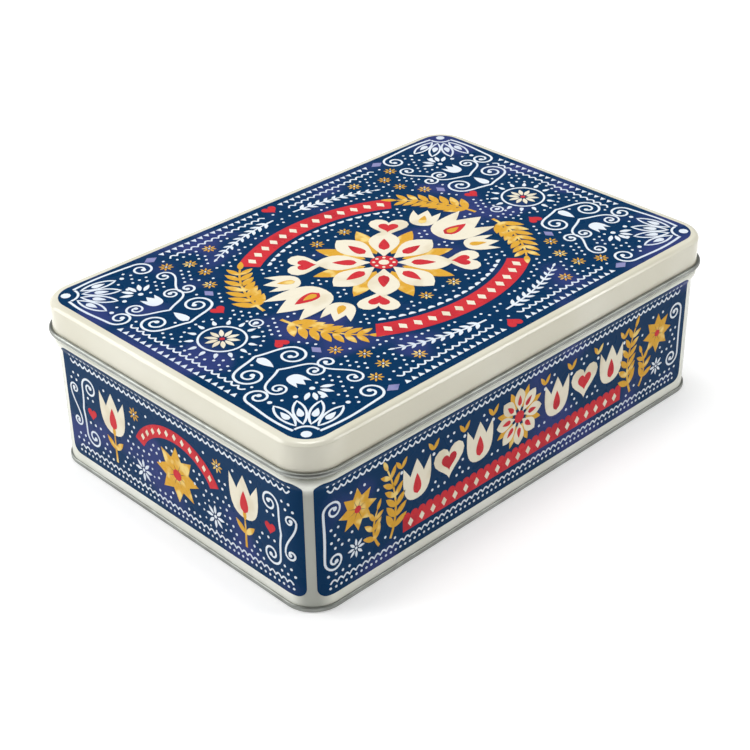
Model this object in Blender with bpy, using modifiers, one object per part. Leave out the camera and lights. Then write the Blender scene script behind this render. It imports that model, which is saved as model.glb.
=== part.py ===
"""Rectangular storage tin with a slip lid, shut: lid, body and base, in metres with +Z up.

The origin is the middle of the underside. The long sides run along X and the short sides along Y.
"""

import math

import bmesh
import bpy

MM = 0.001

LID_LENGTH = 230 * MM
LID_WIDTH = 157 * MM
TIN_HEIGHT = 73.5 * MM
LID_CORNER = 14.5 * MM
LID_EDGE = 2.2 * MM
LID_SHEET = 0.8 * MM

HEM_RADIUS = 1.05 * MM
HEM_OVERHANG = 1.6 * MM
HEM_HEIGHT = 61.0 * MM

BODY_INSET = 1.55 * MM
BODY_CORNER = 12.5 * MM
NECK_EDGE = 2.0 * MM
RIDGE_START = 52.7 * MM
RIDGE_PEAK = 56.7 * MM
RIDGE_END = 58.7 * MM
RIDGE_OVERHANG = 1.5 * MM

SEAM_HEIGHT = 2.1 * MM
SEAM_OVERHANG = 0.8 * MM
SEAM_EDGE = 0.55 * MM
RECESS_DEPTH = 1.5 * MM
RECESS_INSET = 3.2 * MM
RECESS_SLOPE = 0.6 * MM

CLEARANCE = 0.3 * MM

CORNER_STEPS = 10
EDGE_STEPS = 5
RIDGE_STEPS = 6
HEM_RESOLUTION = 4

SLOPE_STEPS = 2
ROUND_PROFILE = 0.5
FOLD_ANGLE = 32
SAME_HEIGHT = 1e-6

CREAM = (0.80, 0.78, 0.68, 1.0)
CREAM_ROUGHNESS = 0.32
TINPLATE = (0.55, 0.55, 0.53, 1.0)
TINPLATE_ROUGHNESS = 0.35


def remove_objects():
    """Empty the scene of the objects that it starts with."""
    for found in list(bpy.data.objects):
        bpy.data.objects.remove(found, do_unlink=True)


def new_collection(name):
    """Return a collection linked to the scene."""
    collection = bpy.data.collections.new(name)
    bpy.context.scene.collection.children.link(collection)
    return collection


def new_material(name, color, roughness, metallic):
    """Return a Principled material of one colour."""
    material = bpy.data.materials.new(name)
    material.use_nodes = True
    shader = material.node_tree.nodes["Principled BSDF"]
    shader.inputs["Base Color"].default_value = color
    shader.inputs["Roughness"].default_value = roughness
    shader.inputs["Metallic"].default_value = metallic
    return material


def object_from_bmesh(name, mesh_builder, collection):
    """Turn a bmesh into an object of the collection and free the bmesh."""
    mesh = bpy.data.meshes.new(name)
    mesh_builder.to_mesh(mesh)
    mesh_builder.free()
    made = bpy.data.objects.new(name, mesh)
    collection.objects.link(made)
    return made


def rounded_box(length, width, low, high, corner):
    """Return a bmesh box from height low to high, its four upright edges rounded to the corner radius."""
    box = bmesh.new()
    bmesh.ops.create_cube(box, size=1.0)
    bmesh.ops.scale(box, vec=(length, width, high - low), verts=box.verts)
    bmesh.ops.translate(box, vec=(0.0, 0.0, (low + high) / 2), verts=box.verts)
    upright = [edge for edge in box.edges if edge.verts[0].co.xy == edge.verts[1].co.xy]
    bmesh.ops.bevel(box, geom=upright, offset=corner, offset_type="OFFSET", segments=CORNER_STEPS,
                    profile=ROUND_PROFILE, affect="EDGES")
    return box


def all_at_height(part, height):
    """Say whether every vertex of a bmesh edge or face lies at one height."""
    return all(abs(vert.co.z - height) < SAME_HEIGHT for vert in part.verts)


def rim_edges(box, height):
    """Return the edges of a bmesh that lie at one height."""
    return [edge for edge in box.edges if all_at_height(edge, height)]


def round_rim(box, height, radius):
    """Round the rim of a bmesh box at one height."""
    bmesh.ops.bevel(box, geom=rim_edges(box, height), offset=radius, offset_type="OFFSET",
                    segments=EDGE_STEPS, profile=ROUND_PROFILE, affect="EDGES")


def rounded_rectangle(length, width, corner):
    """Return the points of a rectangle with round corners, anticlockwise, starting on the +X side."""
    points = []
    for quarter in range(4):
        start = quarter * math.pi / 2
        side_x = 1 if quarter in (0, 3) else -1
        side_y = 1 if quarter in (0, 1) else -1
        centre_x = side_x * (length / 2 - corner)
        centre_y = side_y * (width / 2 - corner)
        for step in range(CORNER_STEPS + 1):
            angle = start + step / CORNER_STEPS * math.pi / 2
            points.append((centre_x + corner * math.cos(angle), centre_y + corner * math.sin(angle)))
    return points


def boolean(target, operation, other):
    """Apply a Boolean of another object to the target, then remove the other object."""
    modifier = target.modifiers.new(operation.title(), "BOOLEAN")
    modifier.operation = operation
    modifier.solver = "EXACT"
    modifier.object = other
    bpy.context.view_layer.update()
    evaluated = target.evaluated_get(bpy.context.evaluated_depsgraph_get())
    joined = bpy.data.meshes.new_from_object(evaluated)
    target.modifiers.clear()
    target.data = joined
    bpy.data.objects.remove(other, do_unlink=True)


def shade(made, material):
    """Give an object its material and smooth shading with sharp folds."""
    made.data.materials.clear()
    made.data.materials.append(material)
    made.data.shade_smooth()
    made.data.set_sharp_from_angle(angle=math.radians(FOLD_ANGLE))


def hem_ring(collection):
    """Return the rolled lower edge of the lid, a round tube that follows the skirt."""
    curve = bpy.data.curves.new("hem_path", "CURVE")
    curve.dimensions = "2D"
    curve.bevel_depth = HEM_RADIUS
    curve.bevel_resolution = HEM_RESOLUTION
    outward = HEM_OVERHANG - HEM_RADIUS
    points = rounded_rectangle(LID_LENGTH + 2 * outward, LID_WIDTH + 2 * outward, LID_CORNER + outward)
    spline = curve.splines.new("POLY")
    spline.points.add(len(points) - 1)
    for point, (x, y) in zip(spline.points, points):
        point.co = (x, y, 0.0, 1.0)
    spline.use_cyclic_u = True
    path = bpy.data.objects.new("hem_path", curve)
    path.location.z = HEM_HEIGHT
    collection.objects.link(path)
    bpy.context.view_layer.update()
    evaluated = path.evaluated_get(bpy.context.evaluated_depsgraph_get())
    ring = bpy.data.objects.new("hem_ring", bpy.data.meshes.new_from_object(evaluated))
    ring.matrix_world = path.matrix_world
    collection.objects.link(ring)
    bpy.data.objects.remove(path, do_unlink=True)
    return ring


def build_lid(collection, cutters, material):
    """Slip lid: a pressed sheet with a rounded top edge, a skirt and a hem rolled outwards."""
    box = rounded_box(LID_LENGTH, LID_WIDTH, HEM_HEIGHT, TIN_HEIGHT, LID_CORNER)
    round_rim(box, TIN_HEIGHT, LID_EDGE)
    underside = [face for face in box.faces if all_at_height(face, HEM_HEIGHT)]
    bmesh.ops.delete(box, geom=underside, context="FACES")
    lid = object_from_bmesh("lid", box, collection)
    sheet = lid.modifiers.new("Sheet", "SOLIDIFY")
    sheet.thickness = LID_SHEET
    sheet.offset = -1.0
    sheet.use_even_offset = True
    boolean(lid, "UNION", hem_ring(cutters))
    shade(lid, material)


def ridge_overhang(height):
    """Return how far the ridge stands out of the walls: a slow swell below its peak, a round fall above."""
    if height <= RIDGE_START or height >= RIDGE_END:
        return 0.0
    if height <= RIDGE_PEAK:
        rise = (height - RIDGE_START) / (RIDGE_PEAK - RIDGE_START)
        return RIDGE_OVERHANG * (1 - math.cos(math.pi * rise)) / 2
    fall = (height - RIDGE_PEAK) / (RIDGE_END - RIDGE_PEAK)
    return RIDGE_OVERHANG * math.sqrt(1 - fall ** 2)


def ridge_heights():
    """Return the heights of the rings that shape the ridge, closer together where it turns in."""
    swell = [RIDGE_START + (RIDGE_PEAK - RIDGE_START) * step / RIDGE_STEPS for step in range(RIDGE_STEPS)]
    turn = [
        RIDGE_PEAK + (RIDGE_END - RIDGE_PEAK) * math.sin(step / RIDGE_STEPS * math.pi / 2)
        for step in range(RIDGE_STEPS + 1)
    ]
    return swell + turn


def press_ridge(walls, length, width, corner):
    """Cut rings round the walls at the ridge's heights and move each one out by its overhang."""
    for height in ridge_heights():
        bmesh.ops.bisect_plane(walls, geom=walls.verts[:] + walls.edges[:] + walls.faces[:],
                               plane_co=(0.0, 0.0, height), plane_no=(0.0, 0.0, 1.0))
    for vert in walls.verts:
        overhang = ridge_overhang(vert.co.z)
        if overhang == 0.0:
            continue
        core_x = max(corner - length / 2, min(length / 2 - corner, vert.co.x))
        core_y = max(corner - width / 2, min(width / 2 - corner, vert.co.y))
        growth = (corner + overhang) / corner
        vert.co.x = core_x + (vert.co.x - core_x) * growth
        vert.co.y = core_y + (vert.co.y - core_y) * growth


def build_body(collection, material):
    """Body: upright walls with a ridge under the hem and a neck inside the lid, shut and so solid."""
    length = LID_LENGTH - 2 * BODY_INSET
    width = LID_WIDTH - 2 * BODY_INSET
    neck_top = TIN_HEIGHT - LID_SHEET - CLEARANCE
    walls = rounded_box(length, width, SEAM_HEIGHT + CLEARANCE, neck_top, BODY_CORNER)
    round_rim(walls, neck_top, NECK_EDGE)
    press_ridge(walls, length, width, BODY_CORNER)
    body = object_from_bmesh("tin_body", walls, collection)
    shade(body, material)


def build_base(collection, cutters, material):
    """Base: a plate seamed round the walls, its middle raised so that the tin stands on the rim."""
    outward = SEAM_OVERHANG - BODY_INSET
    length = LID_LENGTH + 2 * outward
    width = LID_WIDTH + 2 * outward
    plate = rounded_box(length, width, 0.0, SEAM_HEIGHT, BODY_CORNER + SEAM_OVERHANG)
    round_rim(plate, SEAM_HEIGHT, SEAM_EDGE)
    round_rim(plate, 0.0, SEAM_EDGE)
    base = object_from_bmesh("base_plate", plate, collection)
    inward = 2 * RECESS_INSET
    hollow = rounded_box(length - inward, width - inward, -RECESS_DEPTH, RECESS_DEPTH,
                         BODY_CORNER + SEAM_OVERHANG - RECESS_INSET)
    bmesh.ops.bevel(hollow, geom=rim_edges(hollow, RECESS_DEPTH), offset=RECESS_SLOPE,
                    offset_type="OFFSET", segments=SLOPE_STEPS, profile=ROUND_PROFILE, affect="EDGES")
    boolean(base, "DIFFERENCE", object_from_bmesh("recess", hollow, cutters))
    shade(base, material)


def main():
    """Build the tin."""
    remove_objects()
    tin = new_collection("storage_tin")
    cutters = new_collection("cutters")
    cream = new_material("cream_enamel", CREAM, CREAM_ROUGHNESS, 0.0)
    tinplate = new_material("bare_tinplate", TINPLATE, TINPLATE_ROUGHNESS, 1.0)
    build_lid(tin, cutters, cream)
    build_body(tin, cream)
    build_base(tin, cutters, tinplate)


main()
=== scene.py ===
"""Looks of a rectangular storage tin with a slip lid: cream enamel, bare rolled hems and a folk print."""

import logging
import math
from contextlib import contextmanager
from dataclasses import dataclass, field
from enum import Enum
from typing import Callable, Iterable, Iterator, Optional, Union

import bmesh
import bpy
import numpy as np
from mathutils import Matrix, Vector


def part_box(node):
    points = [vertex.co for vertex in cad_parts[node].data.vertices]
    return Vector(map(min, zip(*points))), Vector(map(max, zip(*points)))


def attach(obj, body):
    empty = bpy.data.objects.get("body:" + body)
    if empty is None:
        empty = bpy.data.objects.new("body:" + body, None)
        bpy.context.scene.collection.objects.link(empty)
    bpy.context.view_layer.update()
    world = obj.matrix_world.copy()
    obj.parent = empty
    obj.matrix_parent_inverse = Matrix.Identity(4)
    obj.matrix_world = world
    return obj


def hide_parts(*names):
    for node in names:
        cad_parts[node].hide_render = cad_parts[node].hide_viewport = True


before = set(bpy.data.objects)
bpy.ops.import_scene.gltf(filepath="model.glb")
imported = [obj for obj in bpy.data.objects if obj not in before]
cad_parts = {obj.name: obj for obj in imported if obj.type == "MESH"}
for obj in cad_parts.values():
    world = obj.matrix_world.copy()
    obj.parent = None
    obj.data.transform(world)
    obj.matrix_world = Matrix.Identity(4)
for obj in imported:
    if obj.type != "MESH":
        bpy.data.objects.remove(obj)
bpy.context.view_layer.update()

MM = 0.001
BODY = "root"
LOG = logging.getLogger("storage_tin")

Color = tuple[float, float, float]
Pair = tuple[float, float]
Points = np.ndarray
SocketValue = Union[float, int, str, tuple, bpy.types.ID, bpy.types.NodeSocket]


def srgb(red: float, green: float, blue: float) -> Color:
    """Turn a colour as a screen shows it into linear light.

    Args:
        red: Red from 0 to 255.
        green: Green from 0 to 255.
        blue: Blue from 0 to 255.

    Returns:
        The linear red, green and blue from 0 to 1.
    """
    def linear(channel: float) -> float:
        """Return one channel in linear light."""
        share = channel / 255
        return share / 12.92 if share <= 0.04045 else ((share + 0.055) / 1.055) ** 2.4

    return linear(red), linear(green), linear(blue)


class Ink(Enum):
    """The inks of the print, each a piece of its own on the lid and on the walls."""

    NAVY = "navy"
    WHITE = "white"
    CREAM = "cream"
    GOLD = "gold"
    RED = "red"
    LILAC = "lilac"


class Side(Enum):
    """The four walls, in the order in which the path round the tin meets them."""

    FRONT = 0
    RIGHT = 1
    BACK = 2
    LEFT = 3


class Motif(Enum):
    """The small shapes that the print repeats."""

    DOT = "dot"
    LEAF = "leaf"
    PETAL = "petal"
    DROP = "drop"
    HEART = "heart"
    TULIP = "tulip"
    RHOMB = "rhomb"
    DIAMOND = "diamond"
    TRIANGLE = "triangle"
    SCALLOP = "scallop"


@dataclass(frozen=True)
class TinSizes:
    """Sizes of the tin in metres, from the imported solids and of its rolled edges, and an angle in degrees."""

    length: float
    width: float
    height: float
    hem_low: float
    body_high: float
    base_height: float
    corner: float = 14.5 * MM
    lid_edge: float = 2.2 * MM
    lid_bend: float = 0.6 * MM
    lid_slope: float = 0.6 * MM
    lid_slope_angle: float = 44.0
    lid_sheet: float = 0.8 * MM
    hem_radius: float = 1.05 * MM
    hem_overhang: float = 1.6 * MM
    body_inset: float = 1.55 * MM
    body_corner: float = 12.5 * MM
    neck_edge: float = 2.0 * MM
    ridge_start: float = 52.7 * MM
    ridge_peak: float = 56.7 * MM
    ridge_end: float = 58.7 * MM
    ridge_overhang: float = 1.5 * MM
    seam_overhang: float = 0.8 * MM
    seam_edge: float = 0.55 * MM
    recess_depth: float = 1.5 * MM
    recess_inset: float = 3.2 * MM
    recess_slope: float = 0.6 * MM
    foot_slope: float = 0.15 * MM

    @classmethod
    def from_frame(cls) -> "TinSizes":
        """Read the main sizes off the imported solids.

        Returns:
            The tin's sizes.
        """
        lid_low, lid_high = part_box("lid")
        body_low, body_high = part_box("tin_body")
        _, base_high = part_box("base_plate")
        overhang = cls.hem_overhang
        return cls(
            length=lid_high.x - lid_low.x - 2 * overhang,
            width=lid_high.y - lid_low.y - 2 * overhang,
            height=lid_high.z,
            hem_low=lid_low.z,
            body_high=body_high.z,
            base_height=base_high.z,
        )

    def ridge(self, height: float) -> float:
        """Return how far the ridge under the hem stands out of the walls at a height."""
        if not self.ridge_start < height < self.ridge_end:
            return 0.0
        if height <= self.ridge_peak:
            rise = (height - self.ridge_start) / (self.ridge_peak - self.ridge_start)
            return self.ridge_overhang * (1 - math.cos(math.pi * rise)) / 2
        fall = (height - self.ridge_peak) / (self.ridge_end - self.ridge_peak)
        return self.ridge_overhang * math.sqrt(1 - fall ** 2)


def rounded_path(length: float, width: float, corner: float, steps: int = 24) -> Points:
    """Walk anticlockwise round a rectangle with round corners.

    Args:
        length: Size along X.
        width: Size along Y.
        corner: Radius of the corners.
        steps: Number of chords in each corner.

    Returns:
        Points of the closed path, starting at the middle of the front side.
    """
    points = [(0.0, -width / 2)]
    for quarter in range(4):
        side_x = 1 if quarter < 2 else -1
        side_y = 1 if quarter in (1, 2) else -1
        centre = np.array([side_x * (length / 2 - corner), side_y * (width / 2 - corner)])
        for step in range(steps + 1):
            angle = (quarter - 1 + step / steps) * math.pi / 2
            points.append(tuple(centre + corner * np.array([math.cos(angle), math.sin(angle)])))
    return np.array(points)


class Wiring:
    """A node tree with short calls for its nodes and links."""

    def __init__(self, tree: bpy.types.NodeTree) -> None:
        """Keep the tree."""
        self.tree = tree

    def feed(self, socket: bpy.types.NodeSocket, value: SocketValue) -> None:
        """Link a source to a socket or set its own value.

        Args:
            socket: The input that is fed.
            value: A socket, or a value, which for a colour is without alpha.
        """
        if isinstance(value, bpy.types.NodeSocket):
            self.tree.links.new(value, socket)
        elif socket.type == "RGBA":
            socket.default_value = (*value, 1.0)
        else:
            socket.default_value = value

    def add(self, kind: str, inputs: Optional[dict] = None, **settings: object) -> bpy.types.Node:
        """Add a node.

        Args:
            kind: The node's type.
            inputs: Value or source socket for each input, by name or number.
            settings: The node's own settings.

        Returns:
            The node.
        """
        node = self.tree.nodes.new(kind)
        for name, value in settings.items():
            setattr(node, name, value)
        for key, value in (inputs or {}).items():
            self.feed(node.inputs[key], value)
        return node

    def math(self, operation: str, *values: SocketValue, clamp: bool = False) -> bpy.types.NodeSocket:
        """Add a math node and return its result."""
        inputs = dict(enumerate(values))
        return self.add("ShaderNodeMath", inputs, operation=operation, use_clamp=clamp).outputs[0]

    def parts(self, vector: bpy.types.NodeSocket) -> bpy.types.NodeOutputs:
        """Return the parts X, Y and Z of a vector."""
        return self.add("ShaderNodeSeparateXYZ", {0: vector}).outputs

    def vector(self, **parts: SocketValue) -> bpy.types.NodeSocket:
        """Return the vector of the parts X, Y and Z, each 0 unless it is given."""
        return self.add("ShaderNodeCombineXYZ", parts).outputs[0]


class NodeSheet(Wiring):
    """A geometry node tree with short calls for its sockets."""

    def __init__(self, name: str) -> None:
        """Start a tree that takes a geometry and gives one back."""
        super().__init__(bpy.data.node_groups.new(name, "GeometryNodeTree"))
        for way in ("INPUT", "OUTPUT"):
            self.tree.interface.new_socket("Geometry", in_out=way, socket_type="NodeSocketGeometry")
        self.inlet = self.tree.nodes.new("NodeGroupInput")
        self.outlet = self.tree.nodes.new("NodeGroupOutput")

    @property
    def geometry(self) -> bpy.types.NodeSocket:
        """The geometry that comes in."""
        return self.inlet.outputs["Geometry"]

    def input(self, name: str, kind: str = "Float") -> bpy.types.NodeSocket:
        """Add a named input.

        Args:
            name: What the input is called.
            kind: Kind of socket, such as Float, Object or Material.

        Returns:
            The socket that brings its value into the tree.
        """
        self.tree.interface.new_socket(name, in_out="INPUT", socket_type=f"NodeSocket{kind}")
        return self.inlet.outputs[name]

    def guide(self, name: str) -> bpy.types.NodeSocket:
        """Add an input for an object and return the object's geometry."""
        return self.add("GeometryNodeObjectInfo", {"Object": self.input(name, "Object")}).outputs["Geometry"]

    def attribute(self, name: str) -> bpy.types.NodeSocket:
        """Return a named value of each point."""
        node = self.add("GeometryNodeInputNamedAttribute", {"Name": name}, data_type="FLOAT")
        return node.outputs["Attribute"]

    def upright(self, curve: bpy.types.NodeSocket) -> bpy.types.NodeSocket:
        """Return a curve with level normals, so that a section swept along it stays upright."""
        return self.add("GeometryNodeSetCurveNormal", {"Curve": curve}, mode="Z_UP").outputs["Curve"]

    def joined(self, *parts: bpy.types.NodeSocket) -> bpy.types.NodeSocket:
        """Join geometries and return the whole."""
        node = self.add("GeometryNodeJoinGeometry")
        for part in parts:
            self.tree.links.new(part, node.inputs["Geometry"])
        return node.outputs["Geometry"]

    def close(self, result: bpy.types.NodeSocket) -> bpy.types.GeometryNodeTree:
        """End the tree by realizing instances and setting a material.

        Args:
            result: The geometry that the tree has made.

        Returns:
            The finished tree, with a last input named Material.
        """
        material = self.input("Material", "Material")
        real = self.add("GeometryNodeRealizeInstances", {"Geometry": result})
        dressed = self.add("GeometryNodeSetMaterial", {"Geometry": real.outputs[0], "Material": material})
        self.tree.links.new(dressed.outputs[0], self.outlet.inputs["Geometry"])
        return self.tree


class Trees:
    """The geometry node trees that make the tin's swept sheets and its print."""

    def __init__(self) -> None:
        """Build every tree once."""
        self.sweep = self._sweep()
        self.strokes = self._strokes()
        self.motifs = self._motifs()
        self.wrap = self._wrap()

    @staticmethod
    def _sweep() -> bpy.types.GeometryNodeTree:
        """Sheet metal rolled along a path: a section swept round the tin."""
        sheet = NodeSheet("swept_sheet")
        swept = sheet.add("GeometryNodeCurveToMesh", {
            "Curve": sheet.upright(sheet.guide("Path")),
            "Profile Curve": sheet.guide("Section"),
        })
        return sheet.close(sheet.joined(sheet.geometry, swept.outputs["Mesh"]))

    @staticmethod
    def _strokes() -> bpy.types.GeometryNodeTree:
        """Lines of ink: flat ribbons along the guide curves, as wide as each point's radius says."""
        sheet = NodeSheet("ink_strokes")
        ribbon = sheet.add("GeometryNodeCurvePrimitiveQuadrilateral", {
            "Width": 2.0,
            "Height": sheet.input("Thickness"),
        })
        line = sheet.add("GeometryNodeCurveToMesh", {
            "Curve": sheet.upright(sheet.guide("Guides")),
            "Profile Curve": ribbon.outputs["Curve"],
            "Scale": sheet.attribute("radius"),
            "Fill Caps": True,
        })
        return sheet.close(sheet.joined(sheet.geometry, line.outputs["Mesh"]))

    @staticmethod
    def _motifs() -> bpy.types.GeometryNodeTree:
        """One motif set on many places, turned and sized as each place says."""
        sheet = NodeSheet("set_motifs")
        size = sheet.attribute("size")
        turn = sheet.vector(Z=sheet.attribute("turn"))
        points = sheet.add("GeometryNodeMeshToPoints", {"Mesh": sheet.guide("Places")})
        copies = sheet.add("GeometryNodeInstanceOnPoints", {
            "Points": points.outputs["Points"],
            "Instance": sheet.guide("Motif"),
            "Rotation": sheet.add("FunctionNodeEulerToRotation", {"Euler": turn}).outputs["Rotation"],
            "Scale": sheet.vector(X=size, Y=size, Z=1.0),
        })
        return sheet.close(sheet.joined(sheet.geometry, copies.outputs["Instances"]))

    @staticmethod
    def _wrap() -> bpy.types.GeometryNodeTree:
        """Flat print laid round the walls: X runs along the path, Y up the wall and Z out of it."""
        sheet = NodeSheet("wrap_on_walls")
        path = sheet.guide("Path")
        start = sheet.input("Ridge start")
        peak = sheet.input("Ridge peak")
        overhang = sheet.input("Ridge overhang")
        flat = sheet.parts(sheet.add("GeometryNodeInputPosition").outputs[0])
        total = sheet.add("GeometryNodeCurveLength", {"Curve": path}).outputs["Length"]
        along = sheet.math("FLOORED_MODULO", flat["X"], total)
        spot = sheet.add("GeometryNodeSampleCurve", {"Curves": path, "Length": along}, mode="LENGTH")
        way = sheet.parts(spot.outputs["Tangent"])
        aside = sheet.vector(X=way["Y"], Y=sheet.math("MULTIPLY", way["X"], -1.0))
        outward = sheet.add("ShaderNodeVectorMath", {0: aside}, operation="NORMALIZE")
        climb = sheet.math("SUBTRACT", flat["Y"], start)
        share = sheet.math("DIVIDE", climb, sheet.math("SUBTRACT", peak, start), clamp=True)
        wave = sheet.math("COSINE", sheet.math("MULTIPLY", share, math.pi))
        half = sheet.math("MULTIPLY", overhang, 0.5)
        swell = sheet.math("MULTIPLY", sheet.math("SUBTRACT", 1.0, wave), half)
        lift = sheet.math("ADD", swell, flat["Z"])
        moved = sheet.add("ShaderNodeVectorMath", {
            0: outward.outputs[0],
            1: sheet.vector(X=lift, Y=lift, Z=lift),
            2: spot.outputs["Position"],
        }, operation="MULTIPLY_ADD")
        raised = sheet.add("ShaderNodeVectorMath", {
            0: moved.outputs[0],
            1: sheet.vector(Z=flat["Y"]),
        }, operation="ADD")
        placed = sheet.add("GeometryNodeSetPosition", {
            "Geometry": sheet.geometry,
            "Position": raised.outputs[0],
        })
        return sheet.close(placed.outputs["Geometry"])


class Workbench:
    """Makes guide objects and turns node modifiers into plain meshes."""

    def __init__(self) -> None:
        """Start with no guides."""
        self.guides: list[bpy.types.Object] = []

    def _guide(self, name: str, data: bpy.types.ID) -> bpy.types.Object:
        """Link a guide object to the scene and remember to remove it."""
        guide = bpy.data.objects.new(name, data)
        bpy.context.scene.collection.objects.link(guide)
        self.guides.append(guide)
        return guide

    def curve(self, name: str, lines: Iterable[tuple[Points, Points, bool]]) -> bpy.types.Object:
        """Make a guide curve.

        Args:
            name: The guide's name.
            lines: Points in space, radii and whether it is closed, for each line.

        Returns:
            The guide object.
        """
        data = bpy.data.curves.new(name, "CURVE")
        data.dimensions = "3D"
        for points, radii, closed in lines:
            spline = data.splines.new("POLY")
            spline.points.add(len(points) - 1)
            spline.points.foreach_set("co", np.column_stack([points, np.ones(len(points))]).ravel())
            spline.points.foreach_set("radius", radii)
            spline.use_cyclic_u = closed
        return self._guide(name, data)

    def line(self, name: str, points: Points, closed: bool = True) -> bpy.types.Object:
        """Make a guide curve of one line with a radius of 1."""
        return self.curve(name, [(points, np.ones(len(points)), closed)])

    def path(self, sizes: TinSizes, inset: float, corner: float) -> bpy.types.Object:
        """Make a guide that runs round the tin, inside the skirt by an inset."""
        flat = rounded_path(sizes.length - 2 * inset, sizes.width - 2 * inset, corner)
        return self.line("path", np.column_stack([flat, np.zeros(len(flat))]))

    def mesh(self, name: str, points: Points, faces: list, **attributes: Points) -> bpy.types.Object:
        """Make a guide mesh.

        Args:
            name: The guide's name.
            points: Its vertices.
            faces: Vertex numbers of each face.
            attributes: Named values, one for each vertex.

        Returns:
            The guide object.
        """
        data = bpy.data.meshes.new(name)
        data.from_pydata(points.tolist(), [], faces)
        for key, values in attributes.items():
            layer = data.attributes.new(key, "FLOAT", "POINT")
            layer.data.foreach_set("value", np.asarray(values, dtype=np.float32))
        return self._guide(name, data)

    @staticmethod
    def fit(piece: bpy.types.Object, tree: bpy.types.GeometryNodeTree, **values: SocketValue) -> None:
        """Give a piece a node modifier and set its inputs by their sockets' identifiers.

        Args:
            piece: The object that takes the modifier.
            tree: Its node tree.
            values: Value of each input, with _ for a space in its name.
        """
        modifier = piece.modifiers.new(tree.name, "NODES")
        modifier.node_group = tree
        for item in tree.interface.items_tree:
            key = item.name.replace(" ", "_")
            if item.in_out == "INPUT" and key in values:
                modifier[item.identifier] = values[key]

    @staticmethod
    def settle(piece: bpy.types.Object) -> None:
        """Turn a piece's modifiers into its plain mesh."""
        bpy.context.view_layer.update()
        evaluated = piece.evaluated_get(bpy.context.evaluated_depsgraph_get())
        made = bpy.data.meshes.new_from_object(evaluated)
        piece.modifiers.clear()
        piece.data = made
        made.name = piece.name

    def clear(self) -> None:
        """Remove the guides."""
        for guide in self.guides:
            bpy.data.objects.remove(guide, do_unlink=True)
        self.guides.clear()


def new_piece(name: str) -> bpy.types.Object:
    """Return an empty mesh object at the origin, linked to the scene."""
    piece = bpy.data.objects.new(name, bpy.data.meshes.new(name))
    bpy.context.scene.collection.objects.link(piece)
    return piece


def smooth(piece: bpy.types.Object, fold: float = 32.0) -> None:
    """Shade a piece smooth with sharp folds."""
    piece.data.shade_smooth()
    piece.data.set_sharp_from_angle(angle=math.radians(fold))


@contextmanager
def edited(piece: bpy.types.Object) -> Iterator[bmesh.types.BMesh]:
    """Open a piece's mesh for edits and write them back at the end."""
    builder = bmesh.new()
    builder.from_mesh(piece.data)
    yield builder
    builder.to_mesh(piece.data)
    builder.free()


class Shader(Wiring):
    """A Principled material with short calls for its nodes."""

    def __init__(self, name: str) -> None:
        """Start a material."""
        self.material = bpy.data.materials.new(name)
        self.material.use_nodes = True
        super().__init__(self.material.node_tree)
        self.surface = self.tree.nodes["Principled BSDF"]
        self.place = self.add("ShaderNodeTexCoord").outputs["Object"]

    def noise(self, grain: float, detail: float = 2.0,
              stretch: tuple[float, float, float] = (1.0, 1.0, 1.0)) -> bpy.types.NodeSocket:
        """Add a noise whose lumps are about a grain across.

        Args:
            grain: Size of a lump in metres.
            detail: Number of finer octaves.
            stretch: Share of that size along each axis.

        Returns:
            The noise from 0 to 1.
        """
        scale = tuple(1 / (grain * share) for share in stretch)
        mapped = self.add("ShaderNodeMapping", {"Vector": self.place, "Scale": scale})
        return self.add("ShaderNodeTexNoise", {
            "Vector": mapped.outputs[0],
            "Scale": 1.0,
            "Detail": detail,
        }).outputs["Fac"]

    def spread(self, source: bpy.types.NodeSocket, low: float, high: float, start: float = 0.35,
               end: float = 0.65) -> bpy.types.NodeSocket:
        """Stretch a value between two limits.

        Args:
            source: The value.
            low: Result at the start.
            high: Result at the end.
            start: Value that gives the low result.
            end: Value that gives the high result.

        Returns:
            The stretched value.
        """
        return self.add("ShaderNodeMapRange", {
            "Value": source,
            "From Min": start,
            "From Max": end,
            "To Min": low,
            "To Max": high,
        }, interpolation_type="SMOOTHSTEP").outputs["Result"]

    def blend(self, share: SocketValue, first: SocketValue, second: SocketValue) -> bpy.types.NodeSocket:
        """Mix two colours.

        Args:
            share: Share of the second one.
            first: The first colour.
            second: The second colour.

        Returns:
            The mixed colour.
        """
        # The colours' sockets have the same names as those of other kinds, so they go by number.
        return self.add("ShaderNodeMix", {0: share, 6: first, 7: second}, data_type="RGBA").outputs[2]

    def bump(self, height: bpy.types.NodeSocket, depth: float) -> None:
        """Give the surface a relief of a depth in metres."""
        node = self.add("ShaderNodeBump", {"Height": height, "Distance": depth, "Strength": 1.0})
        self.wire("Normal", node.outputs["Normal"])

    def wire(self, name: str, value: SocketValue) -> None:
        """Set or link one of the surface's inputs."""
        self.feed(self.surface.inputs[name], value)


@dataclass(frozen=True)
class CornerPaintedShade:
    """Painted shade on a coat: a darker colour round the four upright corners of the walls, below the ridge."""

    color: Color
    half_length: float
    half_width: float
    high: float
    start: float = 11 * MM
    end: float = 5 * MM
    fade: float = 2 * MM

    def share(self, shader: Shader) -> bpy.types.NodeSocket:
        """Return the painted shade's share, from 0 on the flat walls to 1 at the corners below the ridge."""
        parts = shader.parts(shader.place)
        below = shader.spread(parts["Z"], 1.0, 0.0, self.high - self.fade, self.high + self.fade)
        shares = []
        for part, half in ((parts["X"], self.half_length), (parts["Y"], self.half_width)):
            reach = shader.math("ABSOLUTE", part)
            shares.append(shader.spread(reach, 0.0, 1.0, half - self.start, half - self.end))
        return shader.math("MULTIPLY", shader.math("MULTIPLY", *shares), below)


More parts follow.
